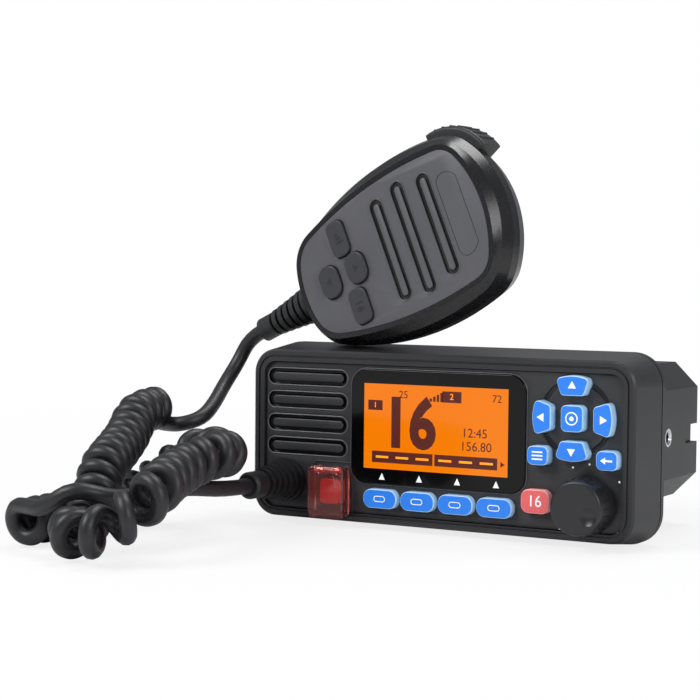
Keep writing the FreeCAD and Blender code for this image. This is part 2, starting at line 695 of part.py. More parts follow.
def biarc(p0, t0, p1, t1):
    """Two tangent arcs from a point and direction to another, with legs of one length."""
    chord = p1 - p0
    a = 2 * (t0.dot(t1) - 1)
    b = -2 * chord.dot(t0 + t1)
    c = chord.dot(chord)
    if abs(a) < 1e-9:
        leg = -c / b
    else:
        leg = (-b - math.sqrt(b * b - 4 * a * c)) / (2 * a)
    first = p0 + t0 * leg
    second = p1 - t1 * leg
    middle = (first + second) * 0.5
    return [arc_by_corner(p0, first, middle), arc_by_corner(middle, second, p1)]


def arc_by_corner(start, corner, end):
    """The arc that leaves start towards corner and reaches end from it."""
    to_start = (start - corner).normalize()
    to_end = (end - corner).normalize()
    bisector = to_start + to_end
    if bisector.Length < 1e-7:
        return Part.makeLine(start, end)
    bisector.normalize()
    half = math.acos(max(-1.0, min(1.0, to_start.dot(bisector))))
    leg = (start - corner).Length
    radius = leg * math.tan(half)
    centre = corner + bisector * (leg / math.cos(half))
    return Part.Arc(start, centre - bisector * radius, end).toShape()


def sweep_round(path_edges, radius):
    """A round wire swept along tangent edges."""
    path = Part.Wire(path_edges)
    first = path.OrderedEdges[0]
    start = first.valueAt(first.FirstParameter)
    ahead = first.tangentAt(first.FirstParameter)
    if path.OrderedVertexes[0].Point.distanceToPoint(start) > 1e-6:
        start = first.valueAt(first.LastParameter)
        ahead = -first.tangentAt(first.LastParameter)
    section = Part.Wire([Part.makeCircle(radius, start, ahead)])
    shell = Part.BRepOffsetAPI.MakePipeShell(path)
    shell.add(section, False, False)
    shell.build()
    shell.makeSolid()
    return shell.shape()


def cover_spring(x0, x1, pin_y, pin_z):
    """A torsion spring round the pin with one leg down the inside of the cover."""
    wire = float(s.spring_wire) / 2
    radius = float(s.spring_coil)
    half_turns = 2 * int(float(s.spring_turns)) + 1
    pitch = (x1 - x0 - 4 * wire) / half_turns * 2

    def place(angle):
        return FreeCAD.Vector(x0 + 2 * wire + pitch * angle / (2 * math.pi),
                              pin_y + radius * math.cos(angle),
                              pin_z + radius * math.sin(angle))

    def heading(angle):
        return FreeCAD.Vector(pitch / (2 * math.pi), -radius * math.sin(angle),
                              radius * math.cos(angle)).normalize()

    edges = []
    for i in range(half_turns):
        a, b = math.pi * i, math.pi * (i + 1)
        edges += biarc(place(a), heading(a), place(b), heading(b))
    end = math.pi * half_turns
    edges.append(Part.makeLine(place(end), place(end) + heading(end) * float(s.spring_leg)))
    print(f"cover_spring: {half_turns / 2} turns, gap {pitch - 2 * wire:.2f}")
    keep(part_feature("cover_spring", sweep_round(edges, wire)))


def ribbed_boot(length, base, tip, rib, hole=0.0):
    """A strain relief along +X from its base at 0, with rings that let it flex."""
    ring_count = 6
    profile = [(0.0, base), (2.0, base)]
    ring_pitch = (length - 2.0 - 6.0) / ring_count
    for i in range(ring_count):
        start = 2.0 + i * ring_pitch
        share = (i + 1) / ring_count
        ring = base + (tip - base) * share ** 0.8
        groove = max(ring - rib, tip * 0.72)
        profile += [(start, groove), (start + ring_pitch * 0.42, groove),
                    (start + ring_pitch * 0.42, ring), (start + ring_pitch, ring)]
    profile += [(length - 6.0, tip), (length - 1.0, tip), (length, tip - 1.0)]
    points = [FreeCAD.Vector(0, 0, 0)]
    points += [FreeCAD.Vector(x, r, 0) for x, r in clean(profile)]
    points.append(FreeCAD.Vector(length, 0, 0))
    points.append(points[0])
    face = Part.Face(Part.makePolygon(points))
    return face.revolve(FreeCAD.Vector(0, 0, 0), FreeCAD.Vector(1, 0, 0), 360)


def clean(profile):
    """Drop points that repeat the one before."""
    kept = [profile[0]]
    for item in profile[1:]:
        if abs(item[0] - kept[-1][0]) > 1e-6 or abs(item[1] - kept[-1][1]) > 1e-6:
            kept.append(item)
    return kept


def cord_boot():
    turn = FreeCAD.Rotation(FreeCAD.Vector(1, 0, 0), FreeCAD.Vector(0, -1, 0))
    boot = ribbed_boot(float(s.boot_length), float(s.boot_base), float(s.boot_tip),
                       float(s.boot_rib))
    neck = Part.makeCylinder(float(s.boot_neck), float(s.panel_thick) + 0.1,
                             FreeCAD.Vector(-float(s.panel_thick) - 0.1, 0, 0),
                             FreeCAD.Vector(1, 0, 0))
    boot = boot.fuse(neck).removeSplitter()
    place = FreeCAD.Vector(-float(s.boot_x), float(PANEL_Y) - 0.02, float(s.boot_z))
    keep(part_feature("cord_boot", boot, FreeCAD.Placement(place, turn)))
    gland = FrontPiece("cord_gland")
    gland.pad([circle(-s.boot_x, s.boot_z, s.gland_radius)],
              PANEL_REAR + s.gland_length + 0.1, PANEL_REAR + 0.1)
    keep(gland.body)


def octagon(inset, y0, y1):
    """The chassis section: a box with its four long edges bevelled."""
    side = float(s.chassis_width) / 2 - inset
    low = float(s.chassis_bottom) + inset
    high = float(s.chassis_top) - inset
    bevel = float(s.chassis_chamfer) - inset * (2 - math.sqrt(2))
    corners = [(side, low + bevel), (side, high - bevel), (side - bevel, high),
               (bevel - side, high), (-side, high - bevel), (-side, low + bevel),
               (bevel - side, low), (side - bevel, low)]
    points = [FreeCAD.Vector(x, y0, z) for x, z in corners]
    face = Part.Face(Part.makePolygon(points + points[:1]))
    return face.extrude(FreeCAD.Vector(0, y1 - y0, 0))


def chassis():
    """Die-cast tub with a lip in front, cooling ribs behind and a mounting hole each side."""
    lip = FrontPiece("chassis_lip")
    lip.pad([lip_outline()], LIP_REAR, LIP_Y)
    front = float(LIP_Y)
    rear = float(s.chassis_rear)
    side = float(s.chassis_width) / 2
    wall = float(s.chassis_wall)
    inner_side = side - wall
    tub = octagon(0.0, front, rear).fuse(lip.body.Shape)
    tub = tub.cut(octagon(wall, front - 1, rear - float(s.rear_wall)))
    cuts = rib_gaps(rear) + rear_notches(rear, side)
    bosses = []
    insert_y, insert_z = float(s.insert_back), float(s.insert_height)
    for sign in (1, -1):
        inward = FreeCAD.Vector(-sign, 0, 0)
        start = FreeCAD.Vector(sign * (side + 1), insert_y, insert_z)
        cuts.append(Part.makeCylinder(float(s.insert_radius), float(s.insert_length) + 1,
                                      start, inward))
        start = FreeCAD.Vector(sign * (inner_side + 1), insert_y, insert_z)
        bosses.append(Part.makeCylinder(float(s.insert_radius) + wall / 2,
                                        float(s.insert_length) - wall + 3, start, inward))
        ends = sorted((sign * (inner_side + 1), sign * (inner_side - 7)))
        bosses.append(block(ends[0], ends[1], float(LIP_REAR) + 4, rear - 3,
                            float(DECK_Z) - 4, DECK_Z))
    cuts.append(cylinder_y(float(s.socket_radius) * 0.7, rear - 8, rear + 1,
                           s.socket_x, s.socket_z))
    cuts.append(cylinder_y(float(s.inlet_bore) + 0.05, rear - 8, rear + 1,
                           -s.inlet_x, s.socket_z))
    keep(part_feature("chassis", tub.fuse(bosses).cut(cuts).removeSplitter()))
    inserts = []
    for sign in (1, -1):
        start = FreeCAD.Vector(sign * side, insert_y, insert_z)
        inward = FreeCAD.Vector(-sign, 0, 0)
        sleeve = Part.makeCylinder(float(s.insert_radius), float(s.insert_length), start, inward)
        bore = Part.makeCylinder(float(s.insert_bore), float(s.insert_length) + 1, start, inward)
        bevel = Part.makeCone(float(s.insert_bore) + 0.7, float(s.insert_bore), 0.7, start, inward)
        inserts.append(sleeve.cut(bore).cut(bevel))
    keep(part_feature("side_inserts", Part.makeCompound(inserts)))


def rib_gaps(rear):
    """Upright grooves that leave cooling ribs on the back."""
    low = float(s.chassis_bottom) + 11.0
    high = float(s.chassis_top) - 11.0
    count = int((float(s.chassis_width) - 34.0) / float(s.fin_pitch))
    half = float(s.fin_gap) / 2
    clear = float(s.flange_side) / 2 + 2.0
    gaps = []
    for i in range(count):
        x = (i - (count - 1) / 2) * float(s.fin_pitch)
        near_socket = abs(x - float(s.socket_x)) < clear + half
        near_inlet = abs(x + float(s.inlet_x)) < clear + half
        bottom = float(s.socket_z) + clear if near_socket or near_inlet else low
        gaps.append(block(x - half, x + half, rear - float(s.fin_depth), rear + 1, bottom, high))
    return gaps


def rear_notches(rear, side):
    """A notch at the rear end of each side wall."""
    low = float(s.insert_height) - float(s.notch_height) / 2
    deep = float(s.notch_sink)
    notches = []
    for x0, x1 in ((side - deep, side + 1), (-side - 1, deep - side)):
        notches.append(block(x0, x1, rear - float(s.notch_length), rear + 1, low,
                             low + float(s.notch_height)))
    return notches


SOCKET_TAIL = 6.9   # ends short of the radio board


def rear_sockets():
    rear = float(s.chassis_rear)
    x, z = float(s.socket_x), float(s.socket_z)
    side = float(s.flange_side) / 2
    plate = block(x - side, x + side, rear, rear + float(s.flange_thick), z - side, z + side)
    barrel = cylinder_y(s.socket_radius, rear, rear + float(s.socket_length), x, z)
    tail = cylinder_y(float(s.socket_radius) * 0.7 - 0.05, rear - SOCKET_TAIL, rear + 0.1, x, z)
    bore = cylinder_y(s.socket_bore, rear + 3, rear + float(s.socket_length) + 1, x, z)
    mouth = cylinder_y(float(s.socket_radius) - 1.6, rear + 9,
                       rear + float(s.socket_length) + 1, x, z)
    socket = plate.fuse([barrel, tail]).cut(bore).cut(mouth)
    keep(part_feature("antenna_socket", socket.removeSplitter()))
    heads = []
    for dx in (-1, 1):
        for dz in (-1, 1):
            at_x = x + dx * (side - 3)
            at_z = z + dz * (side - 3)
            head = cylinder_y(2.2, rear + float(s.flange_thick),
                              rear + float(s.flange_thick) + 1.6, at_x, at_z)
            slot = block(at_x - 3, at_x + 3, rear + float(s.flange_thick) + 0.9,
                         rear + 9, at_z - 0.3, at_z + 0.3)
            heads.append(head.cut(slot))
    keep(part_feature("socket_screws", Part.makeCompound(heads)))
    inlet_x = -float(s.inlet_x)
    inlet = cylinder_y(s.inlet_radius, rear, rear + float(s.inlet_length), inlet_x, z)
    tail = cylinder_y(float(s.inlet_bore), rear - SOCKET_TAIL, rear + 0.1, inlet_x, z)
    hole = cylinder_y(float(s.inlet_bore) - 0.9, rear - 9, rear + 20, inlet_x, z)
    collar = cone_y(float(s.inlet_radius) + 2.0, float(s.inlet_radius) + 1.2, rear,
                    rear + 2.5, inlet_x, z)
    keep(part_feature("power_gland", inlet.fuse([tail, collar]).cut(hole).removeSplitter()))


# The microphone is drawn with its long side along X and its face looking along -Y.

MIC_TURN = FreeCAD.Rotation(FreeCAD.Vector(0, 0, 1), -float(s.mic_turn))
MIC_LEAN = FreeCAD.Rotation(FreeCAD.Vector(1, 0, 0), -float(s.mic_lean))
MIC_ROLL = FreeCAD.Rotation(FreeCAD.Vector(0, 1, 0), -float(s.mic_roll))
MIC_PLACE = FreeCAD.Placement(
    FreeCAD.Vector(float(s.mic_x), float(s.mic_y), float(s.face_height) + float(s.mic_rise)),
    MIC_TURN.multiply(MIC_LEAN).multiply(MIC_ROLL))

BODY_EGG = dict(far=(21.5, 15.0, 18.0), near=(-41.0, 9.5, 14.0), side=112.0,
                far_end=44.6, near_end=-56.0)
FACE_EGG = dict(far=(24.0, 15.3, 10.6), near=(-36.5, 7.2, 13.5), side=160.0,
                far_end=38.0, near_end=-51.0)


def end_radius(corner, end):
    """Radius of the arc through the end of the outline that touches its corner arcs."""
    x, z, r = corner
    a = -abs(end - x)
    return (r * r - a * a - z * z) / (2 * (a + r))


def egg_wire(egg, y, grow=0.0):
    """The microphone's outline: six tangent arcs, mirrored about its long side."""
    fx, fz, fr = egg["far"]
    nx, nz, nr = egg["near"]
    far_big = end_radius(egg["far"], egg["far_end"])
    near_big = end_radius(egg["near"], egg["near_end"])
    far_centre = egg["far_end"] - far_big
    near_centre = egg["near_end"] + near_big
    side = egg["side"]
    span = math.hypot(fx - nx, fz - nz)
    d1, d2 = side - fr, side - nr
    along = (d1 * d1 - d2 * d2 + span * span) / (2 * span)
    drop = math.sqrt(d1 * d1 - along * along)
    ux, uz = (nx - fx) / span, (nz - fz) / span
    sx = fx + along * ux - drop * uz
    sz = fz + along * uz + drop * ux
    if sz > 0:
        sx = fx + along * ux + drop * uz
        sz = fz + along * uz - drop * ux

    def reach(cx, cz, tx, tz, r):
        """Point of circle (tx, tz, r) farthest from a centre."""
        length = math.hypot(tx - cx, tz - cz)
        return (tx + (tx - cx) / length * r, tz + (tz - cz) / length * r)

    def vec(p, flip=1):
        return FreeCAD.Vector(p[0], y, p[1] * flip)

    a = reach(far_centre, 0, fx, fz, fr + grow)
    b = reach(sx, sz, fx, fz, fr + grow)
    c = reach(sx, sz, nx, nz, nr + grow)
    d = reach(near_centre, 0, nx, nz, nr + grow)
    turn_b = math.atan2(b[1] - fz, b[0] - fx)
    turn_a = math.atan2(a[1] - fz, a[0] - fx)
    mid = (turn_a + turn_b) / 2
    ab = (fx + (fr + grow) * math.cos(mid), fz + (fr + grow) * math.sin(mid))
    turn_c = math.atan2(c[1] - nz, c[0] - nx)
    turn_d = math.atan2(d[1] - nz, d[0] - nx)
    mid = (turn_c + turn_d) / 2
    cd = (nx + (nr + grow) * math.cos(mid), nz + (nr + grow) * math.sin(mid))
    turn_b = math.atan2(b[1] - sz, b[0] - sx)
    turn_c = math.atan2(c[1] - sz, c[0] - sx)
    mid = (turn_b + turn_c) / 2
    bc = (sx + (side + grow) * math.cos(mid), sz + (side + grow) * math.sin(mid))
    far_tip = (egg["far_end"] + grow, 0.0)
    near_tip = (egg["near_end"] - grow, 0.0)
    arcs = [
        Part.Arc(vec(a, -1), vec(far_tip), vec(a)),
        Part.Arc(vec(a), vec(ab), vec(b)),
        Part.Arc(vec(b), vec(bc), vec(c)),
        Part.Arc(vec(c), vec(cd), vec(d)),
        Part.Arc(vec(d), vec(near_tip), vec(d, -1)),
        Part.Arc(vec(d, -1), vec(cd, -1), vec(c, -1)),
        Part.Arc(vec(c, -1), vec(bc, -1), vec(b, -1)),
        Part.Arc(vec(b, -1), vec(ab, -1), vec(a, -1)),
    ]
    return Part.Wire([arc.toShape() for arc in arcs])


def egg_prism(egg, y0, y1, grow=0.0):
    return Part.Face(egg_wire(egg, y0, grow)).extrude(FreeCAD.Vector(0, y1 - y0, 0))


def slot_prism(x, z0, z1, width, y0, y1):
    """An upright slot with round ends."""
    r = width / 2
    point = FreeCAD.Vector
    edges = [
        Part.makeLine(point(x - r, y0, z0 + r), point(x - r, y0, z1 - r)),
        Part.Arc(point(x - r, y0, z1 - r), point(x, y0, z1), point(x + r, y0, z1 - r)).toShape(),
        Part.makeLine(point(x + r, y0, z1 - r), point(x + r, y0, z0 + r)),
        Part.Arc(point(x + r, y0, z0 + r), point(x, y0, z0), point(x - r, y0, z0 + r)).toShape(),
    ]
    return Part.Face(Part.Wire(edges)).extrude(point(0, y1 - y0, 0))


MIC_KEYS = {
    "mic_up_key": dict(x=-23.6, z=0.2, w=9.6, h=12.4, r=4.4),
    "mic_down_key": dict(x=-37.3, z=0.0, w=9.6, h=13.0, r=4.4),
    "mic_level_key": dict(x=-27.4, z=13.9, w=8.4, h=14.4, r=3.0),
    "mic_channel_key": dict(x=-27.3, z=-14.2, w=8.6, h=14.0, r=3.0),
}
MIC_SLOTS = ((-6.3, 20.6), (5.1, 22.6), (17.2, 20.4))


def key_prism(key, y0, y1, grow=0.0):
    half_w = key["w"] / 2 + grow
    half_h = key["h"] / 2 + grow
    solid = block(key["x"] - half_w, key["x"] + half_w, y0, y1,
                  key["z"] - half_h, key["z"] + half_h)
    sides = [edge for edge in solid.Edges if along_y(edge)]
    return solid.makeFillet(key["r"] + grow, sides)


def mic_shells():
    front_y = float(s.mic_front)
    rear_y = float(s.mic_rear)
    wall = float(s.mic_wall)
    plate_y = float(s.mic_plate)
    seam = 0.1
    outside = Part.makeLoft([egg_wire(FACE_EGG, 0.0, 2.0), egg_wire(BODY_EGG, 3.0, -1.9),
                             egg_wire(BODY_EGG, front_y, 0.0)], True, True)
    cavity = egg_prism(BODY_EGG, plate_y + 1.6, front_y + 1, -wall - 1.6)
    recess = egg_prism(FACE_EGG, -1.0, plate_y, 0.05)
    front = outside.cut(cavity).cut(recess)
    posts = [cylinder_y(1.8, plate_y + 1.5, front_y - 1.05, x, z)
             for x, z in ((-44.0, 8.0), (-44.0, -8.0), (24.0, 13.0), (24.0, -13.0), (-8.0, 21.0),
                          (-8.0, -21.0))]
    front = front.fuse(posts)
    holes = [key_prism(key, -1, front_y, 0.2) for key in MIC_KEYS.values()]
    front = front.cut(holes)
    keep(part_feature("mic_front_shell", front.removeSplitter(), MIC_PLACE))

    plate = egg_prism(FACE_EGG, 0.0, plate_y)
    cuts = [key_prism(key, -1, plate_y + 1, 0.2) for key in MIC_KEYS.values()]
    for x, half in MIC_SLOTS:
        groove = slot_prism(x, -half, half, float(s.mic_slot_width), -1,
                            float(s.mic_slot_depth))
        island_half = half - (float(s.mic_slot_width) - float(s.mic_island_width)) / 2
        island = slot_prism(x, -island_half, island_half, float(s.mic_island_width), -2,
                            float(s.mic_slot_depth) + 1)
        cuts.append(groove.cut(island))
    keep(part_feature("mic_face_plate", plate.cut(cuts), MIC_PLACE))

    start = front_y + seam
    steps = [(start, 0.0), (start + 4.5, 0.0), (start + 11.5, -2.6),
             (start + rear_y - 3.0, -6.5), (start + rear_y, -11.0)]
    shell = Part.makeLoft([egg_wire(BODY_EGG, y, grow) for y, grow in steps], True, True)
    hollow = egg_prism(BODY_EGG, start - 1, start + 9.0, -wall - 2.0)
    deep = egg_prism(BODY_EGG, start + 8.0, start + rear_y - wall, -wall - 7.0)
    shell = shell.cut(hollow).cut(deep)
    well = ptt_sector(float(s.ptt_back) - 0.25, float(s.ptt_back) + float(s.ptt_width) + 0.25,
                      float(s.ptt_reach) + 3, float(s.ptt_thick) + 3 + float(s.ptt_travel) + 1.6,
                      float(s.ptt_from) - 6.0, float(s.ptt_sweep) + 12.0)
    tail = cylinder_x(4.2, -58.0, -50.0, float(s.mic_boot_back))
    shell = shell.cut(well).cut(tail)
    stud_hole = cylinder_y(2.05, start + 5, start + rear_y + 2, 6.0, 0.0)
    shell = shell.cut(stud_hole)
    keep(part_feature("mic_rear_shell", shell.removeSplitter(), MIC_PLACE))


def cylinder_x(radius, x0, x1, y, z=0.0):
    return Part.makeCylinder(radius, x1 - x0, FreeCAD.Vector(x0, y, z), FreeCAD.Vector(1, 0, 0))


def ptt_sector(y0, y1, outer, thick, angle, sweep):
    """A curved bar round the far upper corner of the microphone."""
    fx, fz, _ = BODY_EGG["far"]
    centre = FreeCAD.Vector(fx, y1, fz)
    back = FreeCAD.Vector(0, -1, 0)
    bar = Part.makeCylinder(outer, y1 - y0, FreeCAD.Vector(0, 0, 0), FreeCAD.Vector(0, 0, 1), sweep)
    core = Part.makeCylinder(outer - thick, y1 - y0 + 2, FreeCAD.Vector(0, 0, -1),
                             FreeCAD.Vector(0, 0, 1))
    bar = bar.cut(core)
    bar.rotate(FreeCAD.Vector(0, 0, 0), FreeCAD.Vector(0, 0, 1), angle)
    bar.rotate(FreeCAD.Vector(0, 0, 0), FreeCAD.Vector(1, 0, 0), 90)
    bar.translate(centre)
    return bar


def mic_parts():
    y0 = float(s.ptt_back)
    y1 = y0 + float(s.ptt_width)
    bar = ptt_sector(y0, y1, float(s.ptt_reach), float(s.ptt_thick), float(s.ptt_from),
                     float(s.ptt_sweep))
    rim = [edge for edge in bar.Edges if edge.Length > 15
           and edge.BoundBox.YLength < 1e-4
           and abs(edge.valueAt(edge.FirstParameter).distanceToPoint(
               FreeCAD.Vector(21.5, edge.BoundBox.YMin, 15.0)) - float(s.ptt_reach)) < 0.01]
    bar = bar.makeFillet(1.4, rim)
    fx, fz, _ = BODY_EGG["far"]
    ribs = []
    count = int(float(s.ptt_ribs))
    for i in range(count):
        angle = math.radians(float(s.ptt_from) + float(s.ptt_sweep) * (i + 1) / (count + 1))
        reach = float(s.ptt_reach) - 0.15
        ribs.append(cylinder_y(0.65, y0 + 1.8, y1 - 1.8, fx + reach * math.cos(angle),
                               fz + reach * math.sin(angle)))
    keep(part_feature("ptt_button", bar.fuse(ribs).removeSplitter(), MIC_PLACE))

    board_y = float(s.mic_front) - 1.0
    board = egg_prism(FACE_EGG, board_y, board_y + 1.4, -3.0)
    keep(part_feature("mic_board", board, MIC_PLACE))
    for name, key in MIC_KEYS.items():
        top = -float(s.mic_key_proud)
        cap = key_prism(key, top, board_y - float(s.mic_key_travel) - 0.15)
        rim = [edge for edge in cap.Edges if flat_at(edge, top)]
        cap = cap.makeFillet(0.6, rim)
        flange = block(key["x"] - key["w"] / 2 - 0.7, key["x"] + key["w"] / 2 + 0.7,
                       float(s.mic_plate) + 1.8, float(s.mic_plate) + 2.5,
                       key["z"] - key["h"] / 2 + 2.0, key["z"] + key["h"] / 2 - 2.0)
        keep(part_feature(name, cap.fuse(flange).removeSplitter(), MIC_PLACE))
    capsule = cylinder_y(4.8, float(s.mic_plate) + 1.65, board_y, 5.1, 0.0)
    keep(part_feature("mic_capsule", capsule, MIC_PLACE))
    mid = math.radians(float(s.ptt_from) + float(s.ptt_sweep) / 2)
    switch_radius = 3.2
    inner = float(s.ptt_reach) - float(s.ptt_thick) - float(s.ptt_travel)
    off = inner - switch_radius - 0.15
    switch = cylinder_y(switch_radius, board_y + 1.4, y0 + 6.0, fx + off * math.cos(mid),
                        fz + off * math.sin(mid))
    keep(part_feature("ptt_switch", switch, MIC_PLACE))
    back = float(s.mic_front) + 0.1 + float(s.mic_rear)
    stud = cylinder_y(2.0, back - 2.4, back + 3.2, 6.0, 0.0)
    head = cylinder_y(5.5, back + 3.2, back + 5.2, 6.0, 0.0)
    head = head.makeFillet(0.7, [edge for edge in head.Edges if flat_at(edge, back + 5.2)])
    washer = cylinder_y(4.6, back, back + 0.9, 6.0, 0.0)
    keep(part_feature("hanger_stud", stud.fuse([head, washer]).removeSplitter(), MIC_PLACE))
    screws = []
    for x, z in ((-38.0, 0.0), (26.0, 17.0), (26.0, -17.0)):
        head = cylinder_y(2.4, back - 0.0, back + 1.2, x * 0.82, z * 0.82)
        slot = block(x * 0.82 - 3, x * 0.82 + 3, back + 0.6, back + 3, z * 0.82 - 0.35,
                     z * 0.82 + 0.35)
        screws.append(head.cut(slot))
    keep(part_feature("mic_screws", Part.makeCompound(screws), MIC_PLACE))
    boot = ribbed_boot(float(s.mic_boot_length), float(s.mic_boot_base),
                       float(s.mic_boot_tip), 1.4)
    tail = Part.makeCylinder(4.1, 6.0, FreeCAD.Vector(-5.9, 0, 0), FreeCAD.Vector(1, 0, 0))
    boot = boot.fuse(tail).removeSplitter()
    turned = FreeCAD.Placement(FreeCAD.Vector(MIC_BOOT_X, float(s.mic_boot_back), 0),
                               FreeCAD.Rotation(FreeCAD.Vector(0, 0, 1), 180))
    keep(part_feature("mic_boot", boot, MIC_PLACE.multiply(turned)))


MIC_BOOT_X = -56.1


# The cord's own line, from the radio's strain relief to the microphone's.

RADIO_EXIT = FreeCAD.Vector(-float(s.boot_x), float(PANEL_Y) - 0.02 - float(s.boot_length),
                            float(s.boot_z))
MIC_EXIT = MIC_PLACE.multVec(FreeCAD.Vector(MIC_BOOT_X - float(s.mic_boot_length),
                                            float(s.mic_boot_back), 0))
COIL_AXIS = [
    (-106.2, -132.0, 9.4), (-104.9, -121.4, 9.4), (-107.9, -102.3, 9.7), (-106.7, -80.6, 9.8),
    (-105.0, -61.0, 14.1), (-97.6, -48.8, 23.9), (-83.4, -49.1, 31.8), (-70.0, -57.7, 28.9),
    (-60.7, -71.8, 32.1), (-63.1, -91.7, 28.9), (-56.1, -114.6, 26.0), (-48.2, -131.3, 24.7),
    (-49.7, -142.8, 18.2), (-58.0, -148.7, 11.9), (-69.4, -148.1, 9.5), (-78.6, -140.5, 9.6),
    (-81.0, -127.3, 9.5), (-88.3, -113.5, 16.0), (-95.1, -100.2, 26.8), (-102.1, -83.2, 30.3),
    (-108.3, -65.9, 36.1), (-116.5, -50.3, 43.3), (-118.2, -33.2, 43.4),
]
RADIO_LEAD = [
    (-65.2, -64.6, 16.9), (-69.9, -83.2, 19.6), (-72.6, -104.2, 19.0), (-71.1, -124.8, 19.1),
    (-81.0, -135.1, 23.8),
]
MIC_LEAD = [(-106.1, -23.5, 43.3), (-103.4, -9.6, 51.7), (-101.7, -0.5, 61.0)]
OPEN_FROM = 0.33
OPEN_TO = 0.60


def curve_points(poles, count):
    """Points along the even quadratic curve that the poles pull."""
    poles = [FreeCAD.Vector(*p) for p in poles]
    spans = len(poles) - 2
    knots = [0.0] * 3 + [float(k) for k in range(1, spans)] + [float(spans)] * 3
    found = []
    for i in range(count):
        t = min(spans * i / (count - 1), spans - 1e-9)
        k = int(t) + 2
        work = [poles[k - 2 + j] for j in range(3)]
        for level in (1, 2):
            for j in range(2, level - 1, -1):
                low = knots[j + k - 2]
                share = (t - low) / (knots[j + 1 + k - level] - low)
                work[j] = work[j - 1] * (1 - share) + work[j] * share
        found.append(work[2])
    return found


def coil_frames():
    """Points of the coil's axis, each with two cross directions and the angle turned."""
    count = 2400
    axis = curve_points(COIL_AXIS, count)
    radius = float(s.coil_radius)
    close = float(s.coil_pitch)
    slack = float(s.coil_pitch_open) - close
    steps = [b - a for a, b in zip(axis, axis[1:])]
    total = sum(step.Length for step in steps)
    bends = []
    for before, after in zip(steps, steps[1:]):
        bends.append(before.getAngle(after) / before.Length)
    window = 60
    side = FreeCAD.Vector(0, 0, 1)
    angle = 0.0
    run = 0.0
    frames = []
    for i, place in enumerate(axis):
        step = steps[min(i, count - 2)]
        ahead = FreeCAD.Vector(step).normalize()
        side = (side - ahead * side.dot(ahead)).normalize()
        frames.append((place, ahead, side, ahead.cross(side), angle))
        near = bends[max(0, i - window):i + window]
        bend = sum(near) / len(near) if near else 0.0
        share = run / total
        stretched = slack if OPEN_FROM < share < OPEN_TO else 0.0
        edge = min(abs(share - OPEN_FROM), abs(share - OPEN_TO)) * 20.0
        pitch = close + stretched * min(1.0, edge)
        pitch = max(pitch, close / max(0.35, 1.0 - 1.25 * radius * bend))
        angle += 2 * math.pi * step.Length / pitch
        run += step.Length
    return frames, total


def coil_point(frames, angle):
    """The wire's point and direction where the coil has turned by an angle."""
    def at(target):
        low, high = 0, len(frames) - 1
        while high - low > 1:
            middle = (low + high) // 2
            if frames[middle][4] <= target:
                low = middle
            else:
                high = middle
        a, b = frames[low], frames[high]
        share = (target - a[4]) / (b[4] - a[4])
        place, side, over = (a[k] * (1 - share) + b[k] * share for k in (0, 2, 3))
        radius = float(s.coil_radius)
        return place + side * (radius * math.cos(target)) - over * (radius * math.sin(target))

    small = 0.02
    last = frames[-1][4]
    before, after = max(0.0, angle - small), min(last, angle + small)
    return at(angle), (at(after) - at(before)).normalize()


def straight_cord(points, radius, label):
    """Straight runs joined by arcs as large as the runs allow."""
    points = [FreeCAD.Vector(*p) if isinstance(p, tuple) else p for p in points]
    edges = []
    radii = []
    at = points[0]
    for before, corner, after in zip(points, points[1:], points[2:]):
        back = (before - corner)
        ahead = (after - corner)
        shorter = min(back.Length, ahead.Length)
        turn = math.pi - back.getAngle(ahead)
        arc_radius = 0.45 * shorter / math.tan(turn / 2)
        radii.append(arc_radius)
        cut = 0.45 * shorter
        start = corner + back.normalize() * cut
        end = corner + ahead.normalize() * cut
        edges.append(Part.makeLine(at, start))
        edges.append(arc_by_corner(start, corner, end))
        at = end
    edges.append(Part.makeLine(at, points[-1]))
    solid = sweep_round(edges, radius)
    length = sum(edge.Length for edge in edges)
    ratio = solid.Volume / (math.pi * radius ** 2 * length)
    print(f"{label}: length {length:.1f}, radii {[round(r, 1) for r in radii]}, "
          f"volume over section times length {ratio:.4f}")
    return solid


